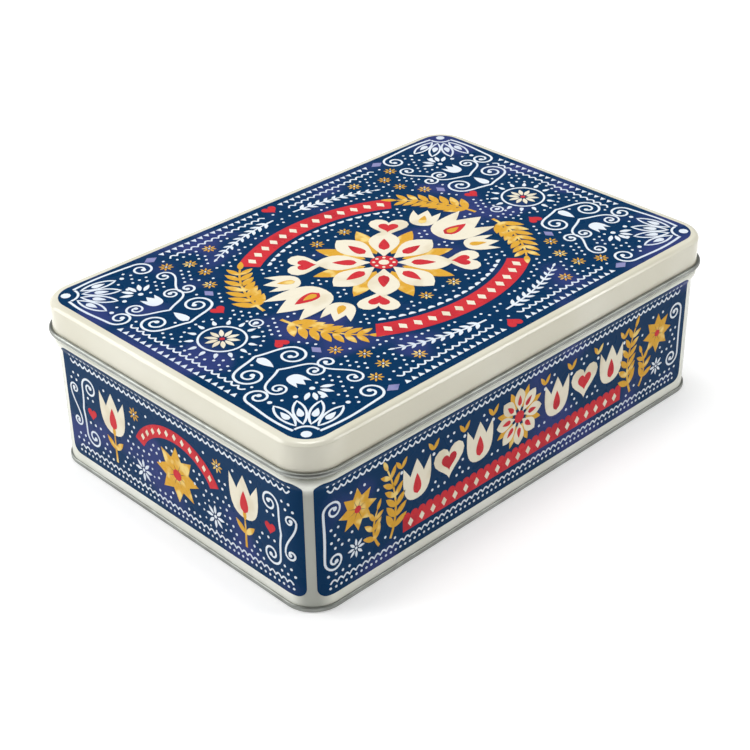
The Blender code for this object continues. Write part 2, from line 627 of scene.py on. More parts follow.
@dataclass(frozen=True)
class EnamelFinish:
    """Pale enamel baked on the sheet, with a soft gloss that is never quite even, and painted shade at the wall
    corners when one is given.
    """

    name: str = "cream_enamel"
    color: Color = srgb(226, 223, 206)
    shade: Color = srgb(218, 214, 194)
    cloud: float = 42 * MM
    ripple: float = 14 * MM
    grit: float = 2.4 * MM
    roughness: Pair = (0.15, 0.19)
    depth: float = 0.0005 * MM
    # Painted shade at the four upright corners of the walls, if any.
    turned: Optional[CornerPaintedShade] = None

    def material(self) -> bpy.types.Material:
        """Return the enamel's material."""
        shader = Shader(self.name)
        tone = shader.spread(shader.noise(self.cloud, 1.5), 0.0, 1.0)
        color = shader.blend(tone, self.color, self.shade)
        # Painted shade: the colour darkens towards the wall corners below the ridge.
        if self.turned is not None:
            color = shader.blend(self.turned.share(shader), color, self.turned.color)
        shader.wire("Base Color", color)
        low, high = self.roughness
        shader.wire("Roughness", shader.spread(shader.noise(self.ripple, 1.0), low, high))
        shader.wire("Specular IOR Level", 0.5)
        shader.bump(shader.noise(self.grit, 1.0), self.depth)
        return shader.material


@dataclass(frozen=True)
class InkFinish:
    """One ink under gloss varnish, with its own clouds of a second tone and a fine printed grain."""

    ink: Ink
    color: Color
    cloud_color: Color
    cloud: float = 30 * MM
    cloud_start: float = 0.52
    cloud_end: float = 0.68
    cloud_most: float = 1.0
    grain: float = 0.25 * MM
    grain_share: float = 0.08
    grain_dark: float = 0.72
    roughness: Pair = (0.26, 0.36)
    specular: float = 0.04
    depth: float = 0.0004 * MM

    def material(self) -> bpy.types.Material:
        """Return the ink's material."""
        shader = Shader(f"{self.ink.value}_ink")
        cloud = shader.noise(self.cloud, 1.5)
        share = shader.spread(cloud, 0.0, self.cloud_most, self.cloud_start, self.cloud_end)
        tone = shader.blend(share, self.color, self.cloud_color)
        darker = tuple(channel * self.grain_dark for channel in self.color)
        speckle = shader.spread(shader.noise(self.grain, 2.0), 0.0, self.grain_share)
        shader.wire("Base Color", shader.blend(speckle, tone, darker))
        low, high = self.roughness
        shader.wire("Roughness", shader.spread(shader.noise(self.cloud / 4, 1.5), low, high))
        shader.wire("Specular IOR Level", self.specular)
        shader.bump(shader.noise(self.grain, 1.0), self.depth)
        return shader.material


INKS: dict[Ink, InkFinish] = {
    Ink.NAVY: InkFinish(Ink.NAVY, srgb(5, 51, 89), srgb(66, 68, 134), cloud_most=0.55),
    Ink.WHITE: InkFinish(Ink.WHITE, srgb(228, 235, 242), srgb(204, 214, 230), cloud_most=0.6),
    Ink.CREAM: InkFinish(Ink.CREAM, srgb(236, 229, 208), srgb(222, 211, 184), cloud=12 * MM, cloud_most=0.8),
    Ink.GOLD: InkFinish(Ink.GOLD, srgb(219, 166, 60), srgb(240, 212, 132), cloud=6 * MM),
    Ink.RED: InkFinish(Ink.RED, srgb(205, 54, 62), srgb(178, 44, 56), cloud=14 * MM, cloud_most=0.7),
    Ink.LILAC: InkFinish(Ink.LILAC, srgb(140, 140, 185), srgb(112, 114, 168), cloud=8 * MM),
}


@dataclass(frozen=True)
class TinplateFinish:
    """Bare tinned steel, rolled, with fine drawn lines along its edges."""

    color: Color = srgb(154, 157, 152)
    dull: Color = srgb(140, 142, 137)
    cloud: float = 9 * MM
    line: float = 0.25 * MM
    roughness: Pair = (0.4, 0.48)
    depth: float = 0.0002 * MM

    def material(self) -> bpy.types.Material:
        """Return the tinplate's material."""
        shader = Shader("bare_tinplate")
        tone = shader.spread(shader.noise(self.cloud, 2.0), 0.0, 1.0)
        shader.wire("Base Color", shader.blend(tone, self.color, self.dull))
        shader.wire("Metallic", 1.0)
        low, high = self.roughness
        shader.wire("Roughness", shader.spread(shader.noise(self.cloud / 3, 1.5), low, high))
        shader.bump(shader.noise(self.line, 1.0, (30.0, 30.0, 1.0)), self.depth)
        return shader.material


def section_points(rows: Iterable[Pair]) -> Points:
    """Turn outward distances and heights into a section's points, whose Y runs down when it is swept."""
    return np.array([(outward, -height, 0.0) for outward, height in rows])


def quarter(centre: Pair, radii: Pair, start: float, end: float,
            steps: int = 8) -> list[Pair]:
    """Walk along an elliptic arc of a section.

    Args:
        centre: Outward distance and height of the arc's centre.
        radii: Its outward and its upright radius.
        start: First angle in degrees, 0 pointing outwards and 90 up.
        end: Last angle in degrees.
        steps: Number of chords.

    Returns:
        Outward distance and height of each point.
    """
    angles = [math.radians(start + (end - start) * step / steps) for step in range(steps + 1)]
    return [(centre[0] + radii[0] * math.cos(a), centre[1] + radii[1] * math.sin(a)) for a in angles]


class TinShell:
    """The sheet metal: lid, rolled hem, walls and base, each swept round the tin."""

    # Colour of the painted shade at the walls' four upright corners.
    corner_painted_shade: Color = srgb(173, 175, 165)
    bend_steps: int = 6
    turn_steps: int = 12
    hem_steps: int = 28
    ridge_steps: int = 16
    facing_down: float = -0.5

    def __init__(self, sizes: TinSizes, trees: Trees, bench: Workbench) -> None:
        """Keep what the pieces share."""
        self.sizes = sizes
        self.trees = trees
        self.bench = bench
        self.enamel = EnamelFinish().material()
        # The walls' white coat gets painted shade at its four upright corners, below the ridge.
        tone = CornerPaintedShade(self.corner_painted_shade, sizes.length / 2 - sizes.body_inset,
                          sizes.width / 2 - sizes.body_inset, sizes.ridge_start)
        coat = EnamelFinish("white_coat", srgb(233, 234, 224), srgb(224, 225, 212), turned=tone)
        self.white_coat = coat.material()
        self.tinplate = TinplateFinish().material()

    def _swept(self, name: str, path: bpy.types.Object, rows: list, closed: bool,
               material: bpy.types.Material) -> bpy.types.Object:
        """Sweep a section round a path.

        Args:
            name: The piece's name.
            path: The guide that it follows.
            rows: Outward distance and height of each of the section's points.
            closed: Whether the section is a ring, or else open with both ends capped.
            material: What it is made of.

        Returns:
            The piece, as a plain mesh.
        """
        section = self.bench.line("section", section_points(rows), closed)
        piece = new_piece(name)
        self.bench.fit(piece, self.trees.sweep, Path=path, Section=section, Material=material)
        self.bench.settle(piece)
        if not closed:
            self._cap(piece)
        self._face_out(piece)
        smooth(piece)
        return piece

    @staticmethod
    def _cap(piece: bpy.types.Object) -> None:
        """Close the flat openings of a swept piece."""
        with edited(piece) as builder:
            rims = [edge for edge in builder.edges if edge.is_boundary]
            bmesh.ops.holes_fill(builder, edges=rims, sides=0)

    @staticmethod
    def _face_out(piece: bpy.types.Object) -> None:
        """Turn the faces of a closed piece outwards."""
        with edited(piece) as builder:
            bmesh.ops.recalc_face_normals(builder, faces=builder.faces)
            if builder.calc_volume(signed=True) < 0:
                bmesh.ops.reverse_faces(builder, faces=builder.faces)

    def lid(self) -> bpy.types.Object:
        """Return the lid's pressed sheet: flat top, rounded edge and skirt, hollow over the neck."""
        sizes = self.sizes
        foot = sizes.hem_low + sizes.hem_radius
        rows = [(0.0, foot)] + self._rim()
        path = self.bench.path(sizes, 0.0, sizes.corner)
        piece = self._swept("lid_shell", path, rows, False, self.enamel)
        with edited(piece) as builder:
            below = [face for face in builder.faces if face.normal.z < self.facing_down]
            bmesh.ops.delete(builder, geom=below, context="FACES")
        sheeted = piece.modifiers.new("Sheet", "SOLIDIFY")
        sheeted.thickness = sizes.lid_sheet
        sheeted.offset = -1.0
        sheeted.use_even_offset = True
        self.bench.settle(piece)
        smooth(piece)
        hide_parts("lid")
        return piece

    def _rim(self) -> list[Pair]:
        """Return the section of the lid's pressed edge.

        Returns:
            Points up from the skirt: a tight bend, a short slope and a wide turn on to the top.
        """
        sizes = self.sizes
        bend, slope = sizes.lid_bend, sizes.lid_slope
        angle = math.radians(sizes.lid_slope_angle)
        left_over = sizes.lid_edge - bend * (1 - math.cos(angle)) - slope * math.sin(angle)
        turn = left_over / math.cos(angle)
        drop = bend * math.sin(angle) + slope * math.cos(angle) + turn * (1 - math.sin(angle))
        low = quarter((-bend, sizes.height - drop), (bend, bend), 0, sizes.lid_slope_angle,
                      self.bend_steps)
        high = quarter((-sizes.lid_edge, sizes.height - turn), (turn, turn), sizes.lid_slope_angle, 90,
                       self.turn_steps)
        return low + high

    def hem(self) -> bpy.types.Object:
        """Return the lid's rolled hem, a bead of bare tinplate round the foot of the skirt."""
        sizes = self.sizes
        radius = sizes.hem_radius
        centre = (sizes.hem_overhang - radius, sizes.hem_low + radius)
        ring = quarter(centre, (radius, radius), 0, 360, self.hem_steps)[:-1]
        path = self.bench.path(sizes, 0.0, sizes.corner)
        return self._swept("lid_hem", path, ring, True, self.tinplate)

    def walls(self) -> bpy.types.Object:
        """Return the walls with the ridge under the hem, closed by the neck's flat top."""
        sizes = self.sizes
        count = self.ridge_steps
        swell = [
            sizes.ridge_start + (sizes.ridge_peak - sizes.ridge_start) * step / count
            for step in range(count)
        ]
        fall = [
            sizes.ridge_peak + (sizes.ridge_end - sizes.ridge_peak) * math.sin(step / count * math.pi / 2)
            for step in range(count + 1)
        ]
        foot = sizes.base_height - sizes.seam_edge
        edge = sizes.neck_edge
        rows = [(0.0, foot)] + [(sizes.ridge(height), height) for height in swell + fall]
        rows += quarter((-edge, sizes.body_high - edge), (edge, edge), 0, 90)
        path = self.bench.path(sizes, sizes.body_inset, sizes.body_corner)
        piece = self._swept("body_walls", path, rows, False, self.white_coat)
        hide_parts("tin_body")
        return piece

    def base(self) -> bpy.types.Object:
        """Return the base: a seam rolled round the foot and a raised panel with a pressed step."""
        sizes = self.sizes
        edge, high = sizes.seam_edge, sizes.base_height
        out = sizes.seam_overhang
        recess = -(sizes.recess_inset - out)
        slope, steps = sizes.recess_slope, self.bend_steps
        rows = quarter((out - edge, high - edge), (edge, edge), 90, 0, steps)
        rows += quarter((out - edge, edge), (edge, edge), 0, -90, steps)
        rows += [(recess + sizes.foot_slope, 0.0), (recess, sizes.foot_slope)]
        rows += quarter((recess - slope, sizes.recess_depth - slope), (slope, slope), 0, 90, steps)
        path = self.bench.path(sizes, sizes.body_inset, sizes.body_corner)
        piece = self._swept("base_seam", path, rows, False, self.tinplate)
        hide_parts("base_plate")
        return piece


@dataclass(frozen=True)
class Mirror:
    """A copy of the artwork, turned over left to right or top to bottom or both."""

    across: int = 1
    up: int = 1

    def line(self, points: Points) -> Points:
        """Return a line's points in the copy."""
        return points * np.array([self.across, self.up])

    def turn(self, angle: float) -> float:
        """Return in the copy the angle of what stood at an angle from upright, anticlockwise."""
        heading = np.array([-math.sin(angle) * self.across, math.cos(angle) * self.up])
        return math.atan2(-heading[0], heading[1])


Copies = tuple[Mirror, ...]

ONCE = (Mirror(),)
HALVES = (Mirror(), Mirror(across=-1))
UPRIGHTS = (Mirror(), Mirror(up=-1))
QUARTERS = (Mirror(), Mirror(across=-1), Mirror(up=-1), Mirror(across=-1, up=-1))


def bezier(*corners: Iterable[float], steps: int = 8) -> Points:
    """Return points on a cubic curve given by its four control points."""
    start, first, second, end = (np.array(corner, dtype=float) for corner in corners)
    share = np.linspace(0.0, 1.0, steps + 1)[:, None]
    rest = 1 - share
    return (rest ** 3 * start + 3 * rest ** 2 * share * first + 3 * rest * share ** 2 * second
            + share ** 3 * end)


def chain(*parts: Points) -> Points:
    """Join lines end to end without doubling the points where they meet."""
    kept = [parts[0]]
    for part in parts[1:]:
        kept.append(part[1:] if np.allclose(part[0], kept[-1][-1]) else part)
    return np.concatenate(kept)


def arc(x: float, y: float, radius: float, start: float, end: float, squash: float = 1.0,
        step: float = 0.7) -> Points:
    """Return points on an arc.

    Args:
        x: Centre, across.
        y: Centre, up.
        radius: Radius across.
        start: First angle in degrees, anticlockwise from the right.
        end: Last angle in degrees.
        squash: Upright radius as a share of the radius across.
        step: Length of a chord.

    Returns:
        The points.
    """
    count = max(6, round(radius * abs(math.radians(end - start)) / step))
    angles = np.radians(np.linspace(start, end, count + 1))
    return np.column_stack([x + radius * np.cos(angles), y + radius * squash * np.sin(angles)])


def spiral(x: float, y: float, radius: float, start: float, turns: float) -> Points:
    """Return a spiral that winds in to its eye.

    Args:
        x: The eye, across.
        y: The eye, up.
        radius: Distance of the outer end from the eye.
        start: Angle of the outer end in degrees.
        turns: Number of turns, negative for clockwise.

    Returns:
        The points from the outer end inwards.
    """
    density, wound = 5, 0.8
    count = max(10, round(abs(turns) * radius * density))
    share = np.linspace(0.0, 1.0, count + 1)
    angles = math.radians(start) + 2 * math.pi * turns * share
    reach = radius * (1 - wound * share)
    return np.column_stack([x + reach * np.cos(angles), y + reach * np.sin(angles)])


def covered(outline: Points, spots: Points) -> np.ndarray:
    """Say which spots lie inside an outline."""
    x, y = spots.T
    after = np.roll(outline, -1, axis=0)
    inside = np.zeros(len(spots), dtype=bool)
    for (x0, y0), (x1, y1) in zip(outline, after):
        if y0 == y1:
            continue
        crossing = x0 + (y - y0) * (x1 - x0) / (y1 - y0)
        inside ^= ((y0 > y) != (y1 > y)) & (x < crossing)
    return inside


def honeycomb(size: Pair, corner: Pair, spacing: float,
              rise: float = 0.866) -> Points:
    """Return spots in staggered rows.

    Args:
        size: How far the rows reach, across and up.
        corner: The lowest corner.
        spacing: Distance between neighbours.
        rise: Distance between rows as a share of the spacing.

    Returns:
        The spots.
    """
    spots = []
    rows = int(size[1] / (spacing * rise))
    for row in range(rows + 1):
        shift = spacing / 2 * (row % 2)
        for column in range(int((size[0] - shift) / spacing) + 1):
            spots.append((corner[0] + shift + column * spacing, corner[1] + row * spacing * rise))
    return np.array(spots)


def both_sides(right: Points) -> Points:
    """Close an outline whose right half runs from its foot to its tip."""
    left = right[1:-1][::-1] * np.array([-1.0, 1.0])
    return np.concatenate([right, left])


def lens(width: float, bulge: float, steps: int = 8) -> Points:
    """Return a leaf of length 1 that is widest where the bulge puts it.

    Args:
        width: Its width.
        bulge: Under 1 the leaf is widest near its foot, and over 1 near its tip.
        steps: Number of chords on each side.

    Returns:
        The outline from the foot, anticlockwise.
    """
    fullness = 0.85
    share = np.linspace(0.0, 1.0, steps + 1)
    half = width / 2 * np.sin(math.pi * share ** bulge) ** fullness
    half[[0, -1]] = 0.0
    return both_sides(np.column_stack([half, share]))


def heart_outline() -> Points:
    """Return a heart of width 1 with its tip at the foot."""
    angle = np.linspace(math.pi, 0.0, 13)
    across = 16 * np.sin(angle) ** 3
    up = 13 * np.cos(angle) - 5 * np.cos(2 * angle) - 2 * np.cos(3 * angle) - np.cos(4 * angle)
    return both_sides(np.column_stack([across, up + 17.0]) / 32)


def tulip_outline() -> Points:
    """Return a tulip of height 1 with three pointed petals."""
    right = chain(
        bezier((0.0, 0.0), (0.36, 0.0), (0.46, 0.30), (0.40, 0.92)),
        bezier((0.40, 0.92), (0.32, 0.80), (0.24, 0.70), (0.20, 0.62), steps=4),
        bezier((0.20, 0.62), (0.14, 0.76), (0.06, 0.90), (0.0, 1.0), steps=4),
    )
    return both_sides(right)


OUTLINES: dict[Motif, Callable[[], Points]] = {
    Motif.DOT: lambda: arc(0.0, 0.0, 0.5, 0, 360, step=0.32)[:-1],
    Motif.LEAF: lambda: lens(0.36, 0.9),
    Motif.PETAL: lambda: lens(0.56, 1.35, 10),
    Motif.DROP: lambda: lens(0.46, 0.62),
    Motif.HEART: heart_outline,
    Motif.TULIP: tulip_outline,
    Motif.RHOMB: lambda: np.array([(0.0, 0.0), (0.24, 0.52), (0.0, 1.0), (-0.24, 0.52)]),
    Motif.DIAMOND: lambda: np.array([(0.0, -0.5), (0.36, 0.0), (0.0, 0.5), (-0.36, 0.0)]),
    Motif.TRIANGLE: lambda: np.array([(-0.5, 0.0), (0.5, 0.0), (0.0, 0.9)]),
    Motif.SCALLOP: lambda: arc(0.0, 0.0, 0.5, 0, 180, step=0.22),
}


@dataclass
class Stroke:
    """A line of ink in millimetres."""

    points: Points
    radii: Points
    high: float
    closed: bool


@dataclass
class Drawing:
    """Flat artwork in millimetres, sorted by ink, which stands proud of the sheet by its levels."""

    plates: dict[Ink, list[tuple[Points, float]]] = field(default_factory=dict)
    strokes: dict[Ink, list[Stroke]] = field(default_factory=dict)
    motifs: dict[tuple[Ink, Motif], list[tuple[float, ...]]] = field(default_factory=dict)
    ground: float = 0.06
    level_step: float = 0.05
    hair: float = 0.002
    hairs: int = 9
    blob: float = 1.9
    arch_steps: int = 8
    count: int = 0

    def high(self, level: int) -> float:
        """Return how far a level stands proud, with a hair more for each shape so that none lie flush."""
        self.count += 1
        return self.ground + level * self.level_step + (self.count % self.hairs) * self.hair

    def put(self, motif: Motif, ink: Ink, x: float, y: float, size: float, turn: float = 0.0, level: int = 1,
            mirrors: Copies = ONCE) -> None:
        """Set a motif.

        Args:
            motif: Which one.
            ink: Its ink.
            x: Its foot or centre, across.
            y: Its foot or centre, up.
            size: Its length or width.
            turn: Degrees anticlockwise from upright.
            level: Which layer of ink it is in.
            mirrors: The copies that it has.
        """
        places = self.motifs.setdefault((ink, motif), [])
        for mirror in mirrors:
            spot = mirror.line(np.array([x, y]))
            places.append((*spot, mirror.turn(math.radians(turn)), size, self.high(level)))

    def draw(self, ink: Ink, points: Points, width: float = 1.0, taper: float = 1.0, level: int = 1,
             mirrors: Copies = ONCE, closed: bool = False) -> None:
        """Draw a line.

        Args:
            ink: Its ink.
            points: Where it runs.
            width: How wide it is at its start.
            taper: Its width at the end as a share of that.
            level: Which layer of ink it is in.
            mirrors: The copies that it has.
            closed: Whether it is a ring.
        """
        radii = np.linspace(width / 2, width / 2 * taper, len(points))
        for mirror in mirrors:
            line = Stroke(mirror.line(points), radii, self.high(level), closed)
            self.strokes.setdefault(ink, []).append(line)

    def fill(self, ink: Ink, outline: Points, level: int = 1, mirrors: Copies = ONCE) -> None:
        """Fill an outline.

        Args:
            ink: Its ink.
            outline: Its points.
            level: Which layer of ink it is in.
            mirrors: The copies that it has.
        """
        for mirror in mirrors:
            self.plates.setdefault(ink, []).append((mirror.line(outline), self.high(level)))

    def ring(self, motif: Motif, ink: Ink, x: float, y: float, radius: float, size: float, count: int,
             start: float = 0.0, level: int = 1, mirrors: Copies = ONCE) -> None:
        """Set motifs in a ring, pointing outwards.

        Args:
            motif: Which one.
            ink: Its ink.
            x: The ring's centre, across.
            y: The ring's centre, up.
            radius: Distance of each motif's foot from the centre.
            size: Length of a motif.
            count: Number of motifs.
            start: Degrees anticlockwise from upright of the first.
            level: Which layer of ink they are in.
            mirrors: The copies that the ring has.
        """
        for number in range(count):
            angle = start + 360 * number / count
            lean = math.radians(angle)
            self.put(motif, ink, x - radius * math.sin(lean), y + radius * math.cos(lean), size, angle, level,
                     mirrors)

    def row(self, motif: Motif, ink: Ink, start: Pair, end: Pair, spacing: float,
            size: float, turn: float = 0.0, level: int = 1, mirrors: Copies = ONCE) -> None:
        """Set motifs in a straight row.

        Args:
            motif: Which one.
            ink: Its ink.
            start: Place of the first.
            end: Place of the last.
            spacing: About how far apart they are.
            size: Size of each.
            turn: Degrees anticlockwise from upright.
            level: Which layer of ink they are in.
            mirrors: The copies that the row has.
        """
        reach = math.dist(start, end)
        count = max(1, round(reach / spacing))
        for number in range(count + 1):
            share = number / count
            x, y = (first + (last - first) * share for first, last in zip(start, end))
            self.put(motif, ink, x, y, size, turn, level, mirrors)

    def daisy(self, ink: Ink, x: float, y: float, radius: float, petals: int = 8, eye: Optional[Ink] = None,
              level: int = 1, mirrors: Copies = ONCE) -> None:
        """Set a small flower of leaves round an eye."""
        foot, leaf, middle = radius * 0.24, radius * 0.76, radius * 0.3
        self.ring(Motif.LEAF, ink, x, y, foot, leaf, petals, level=level, mirrors=mirrors)
        self.put(Motif.DOT, eye or ink, x, y, middle, level=level, mirrors=mirrors)

    def eyelet(self, ink: Ink, x: float, y: float, radius: float, mirrors: Copies = ONCE) -> None:
        """Draw a small ring round a dot."""
        width, dot = 0.7, radius * 0.8
        self.draw(ink, arc(x, y, radius, 0, 360)[:-1], width, mirrors=mirrors, closed=True)
        self.put(Motif.DOT, ink, x, y, dot, mirrors=mirrors)

    def coil(self, ink: Ink, line: Points, end: Points, width: float, mirrors: Copies) -> None:
        """Draw a line that ends in a spiral, with a round blob at its eye."""
        self.draw(ink, chain(line, end), width, taper=0.8, mirrors=mirrors)
        self.put(Motif.DOT, ink, *end[-1], width * self.blob, mirrors=mirrors)

    def scroll(self, ink: Ink, start: Pair, heading: float, eye: Pair, radius: float,
               angle: float, turns: float, width: float = 1.0, mirrors: Copies = ONCE) -> None:
        """Draw a stem that winds into a spiral.

        Args:
            ink: Its ink.
            start: Where the stem starts.
            heading: Degrees anticlockwise from the right in which it leaves.
            eye: Centre of the spiral.
            radius: Radius of the spiral.
            angle: Degrees at which the stem reaches its rim.
            turns: Number of turns, negative for clockwise.
            width: Width of the line.
            mirrors: The copies that it has.
        """
        sense = math.copysign(1.0, turns)
        end = spiral(*eye, radius, angle, turns)
        arrival = sense * np.array([-math.sin(math.radians(angle)), math.cos(math.radians(angle))])
        leaving = np.array([math.cos(math.radians(heading)), math.sin(math.radians(heading))])
        pull = 0.42 * math.dist(start, end[0])
        stem = bezier(start, np.array(start) + pull * leaving, end[0] - pull * arrival, end[0], steps=14)
        self.coil(ink, stem, end, width, mirrors)

    def s_curl(self, ink: Ink, first: Pair, second: Pair, radius: float,
               turns: float = 1.1, width: float = 1.0, mirrors: Copies = ONCE) -> None:
        """Draw a line with a spiral at each end.

        Args:
            ink: Its ink.
            first: Eye of one spiral.
            second: Eye of the other one.
            radius: Radius of both.
            turns: Turns of each, negative for the mirrored letter's shape.
            width: Width of the line.
            mirrors: The copies that it has.
        """
        along = np.subtract(second, first)
        length = float(np.hypot(*along))
        side = math.copysign(1.0, turns)
        lean = math.degrees(math.atan2(side * along[0], -side * along[1]))
        head = spiral(*first, radius, lean, turns)
        tail = spiral(*second, radius, lean + 180, turns)
        pull = 0.4 * along * min(1.0, 14.0 / length)
        middle = bezier(head[0], head[0] + pull, tail[0] - pull, tail[0], steps=12)
        self.coil(ink, chain(head[::-1], middle), tail, width, mirrors)
        self.put(Motif.DOT, ink, *head[-1], width * self.blob, mirrors=mirrors)

    def wave(self, ink: Ink, start: Pair, end: Pair, crest: float, height: float,
             width: float = 0.8, mirrors: Copies = ONCE) -> None:
        """Draw a line of small arches.

        Args:
            ink: Its ink.
            start: Where it starts.
            end: Where it ends.
            crest: Width of an arch.
            height: Height of an arch, to the left of the line's way, or to its right if negative.
            width: Width of the line.
            mirrors: The copies that it has.
        """
        along = np.subtract(end, start)
        length = float(np.hypot(*along))
        count = max(1, round(length / crest))
        share = np.linspace(0.0, 1.0, count * self.arch_steps + 1)
        rise = height * np.abs(np.sin(math.pi * count * share))
        aside = np.array([-along[1], along[0]]) / length
        points = np.array(start) + share[:, None] * along + rise[:, None] * aside
        self.draw(ink, points, width, mirrors=mirrors)

    def outlines(self) -> list[Points]:
        """Return the outlines of the filled shapes above the ground."""
        found = [outline for plates in self.plates.values() for outline, high in plates
                 if high > self.ground + self.level_step / 2]
        for (_, motif), places in self.motifs.items():
            shape = OUTLINES[motif]()
            for x, y, turn, size, _ in places:
                turned = np.array([[math.cos(turn), math.sin(turn)], [-math.sin(turn), math.cos(turn)]])
                found.append(size * shape @ turned + np.array([x, y]))
        return found

    def room(self, spots: Points) -> Points:
        """Return how far each of some spots is from the nearest shape or line, and 0 inside a shape."""
        outlines = self.outlines()
        lines = [line.points for strokes in self.strokes.values() for line in strokes]
        drawn = np.concatenate(outlines + lines)
        gap = np.array([np.hypot(*(drawn - spot).T).min() for spot in spots])
        for outline in outlines:
            gap[covered(outline, spots)] = 0.0
        return gap

    def fill_gaps(self, size: Pair, corner: Pair, flat: float,
                  mirrors: Copies) -> None:
        """Fill what is still bare with small flowers, eyelets and dots.

        Args:
            size: How far the region reaches, across and up.
            corner: Its lowest corner.
            flat: Distance across from which only dots and lines may stand.
            mirrors: The copies that each small shape has.
        """
        inks = (Ink.WHITE, Ink.WHITE, Ink.GOLD)
        flower, eyelet, dot = 3.1, 1.7, 0.6
        for spacing, needed, roomy in ((5.6, 4.5, True), (3.3, 2.35, False)):
            spots = honeycomb(size, corner, spacing)
            gap = self.room(spots)
            for number in np.argsort(-gap, kind="stable"):
                x, y = spots[number]
                if gap[number] < needed:
                    continue
                own = dot
                if not roomy:
                    self.put(Motif.DOT, Ink.WHITE, x, y, 2 * dot, mirrors=mirrors)
                elif x > flat:
                    self.eyelet(Ink.WHITE, x, y, eyelet, mirrors)
                    own = eyelet
                else:
                    self.daisy(inks[self.count % len(inks)], x, y, flower, 8, Ink.WHITE, mirrors=mirrors)
                    own = flower
                gap = np.minimum(gap, np.hypot(*(spots - spots[number]).T) - own)

    def garland(self, ink: Ink, path: Points, spacing: float, size: float, lean: float, width: float,
                mirrors: Copies) -> None:
        """Set pairs of leaves along a stem.

        Args:
            ink: Its ink.
            path: Where the stem runs.
            spacing: Distance between pairs.
            size: Length of a leaf.
            lean: Angle between leaf and stem, in degrees.
            width: Width of the stem.
            mirrors: The copies that it has.
        """
        self.draw(ink, path, width, taper=0.6, mirrors=mirrors)
        shrink, step_back = 0.35, 0.5
        steps = np.diff(path, axis=0)
        along = np.concatenate([[0.0], np.cumsum(np.hypot(steps[:, 0], steps[:, 1]))])
        count = max(2, int(along[-1] / spacing))
        for number in range(1, count + 1):
            reach = along[-1] * number / count
            x, y = (float(np.interp(reach, along, path[:, axis])) for axis in (0, 1))
            behind = max(reach - step_back, 0.0)
            back_x, back_y = (float(np.interp(behind, along, path[:, axis])) for axis in (0, 1))
            heading = math.degrees(math.atan2(back_x - x, y - back_y))
            grown = size * (1 - shrink * number / count)
            for turn in (lean, -lean) if number < count else (0.0,):
                self.put(Motif.LEAF, ink, x, y, grown, heading + turn, mirrors=mirrors)

    def take(self, other: "Drawing", along: float) -> None:
        """Add another drawing, moved across.

        Args:
            other: The drawing that is added.
            along: How far it moves.
        """
        move = np.array([along, 0.0])
        for ink, plates in other.plates.items():
            self.plates.setdefault(ink, []).extend((outline + move, high) for outline, high in plates)
        for ink, strokes in other.strokes.items():
            moved = [Stroke(line.points + move, line.radii, line.high, line.closed) for line in strokes]
            self.strokes.setdefault(ink, []).extend(moved)
        for key, places in other.motifs.items():
            self.motifs.setdefault(key, []).extend((x + along, *rest) for x, *rest in places)

    def inks(self) -> list[Ink]:
        """Return the inks that the drawing uses."""
        used = set(self.plates) | set(self.strokes) | {ink for ink, _ in self.motifs}
        return [ink for ink in Ink if ink in used]


def prism(outline: Points, low: float, high: float, first: int) -> tuple[list, list]:
    """Raise an outline into a closed plate.

    Args:
        outline: Its points.
        low: Height of its underside.
        high: Height of its top.
        first: Number of its first vertex.

    Returns:
        Its vertices and its faces.
    """
    following = np.roll(outline, -1, axis=0)
    area = np.sum(outline[:, 0] * following[:, 1] - following[:, 0] * outline[:, 1])
    ordered = outline if area > 0 else outline[::-1]
    count = len(ordered)
    points = [(x, y, low) for x, y in ordered] + [(x, y, high) for x, y in ordered]
    bottom = [first + number for number in reversed(range(count))]
    top = [first + count + number for number in range(count)]
    faces = [bottom, top]
    for number in range(count):
        after = (number + 1) % count
        faces.append([first + number, first + after, first + count + after, first + count + number])
    return points, faces


class PrintWorks:
    """Turns a drawing into one piece for each ink, flat or laid round the walls."""

    stroke_thickness: float = 0.4
    plate_depth: float = 0.3

    def __init__(self, trees: Trees, bench: Workbench, inks: dict[Ink, bpy.types.Material]) -> None:
        """Keep the trees and inks, and make each motif once."""
        self.trees = trees
        self.bench = bench
        self.inks = inks
        self.shapes = {motif: self._shape(motif) for motif in Motif}

    def _shape(self, motif: Motif) -> bpy.types.Object:
        """Return a motif as a plate one millimetre in size, its top at height zero."""
        points, faces = prism(OUTLINES[motif](), -self.plate_depth, 0.0, 0)
        return self.bench.mesh(motif.value, np.array(points) * MM, faces)

    def piece(self, name: str, ink: Ink, drawing: Drawing) -> bpy.types.Object:
        """Make the piece of one ink, flat.

        Args:
            name: The piece's name.
            ink: Its ink.
            drawing: The artwork.

        Returns:
            The object, with its node modifiers still on.
        """
        material = self.inks[ink]
        made = new_piece(name)
        made.data.materials.append(material)
        points: list = []
        faces: list = []
        for outline, high in drawing.plates.get(ink, []):
            more_points, more_faces = prism(outline, high - self.plate_depth, high, len(points))
            points += more_points
            faces += more_faces
        made.data.from_pydata((np.array(points).reshape(-1, 3) * MM).tolist(), [], faces)
        strokes = drawing.strokes.get(ink, [])
        if strokes:
            lines = []
            for line in strokes:
                height = line.high - line.radii * self.stroke_thickness / 2
                lines.append((np.column_stack([line.points, height]) * MM, line.radii * MM, line.closed))
            guides = self.bench.curve("strokes", lines)
            self.bench.fit(made, self.trees.strokes, Guides=guides, Thickness=self.stroke_thickness,
                           Material=material)
        for (motif_ink, motif), places in drawing.motifs.items():
            if motif_ink is not ink:
                continue
            table = np.array(places)
            spots = np.column_stack([table[:, 0], table[:, 1], table[:, 4]]) * MM
            guide = self.bench.mesh("places", spots, [], turn=table[:, 2], size=table[:, 3])
            self.bench.fit(made, self.trees.motifs, Places=guide, Motif=self.shapes[motif], Material=material)
        return made


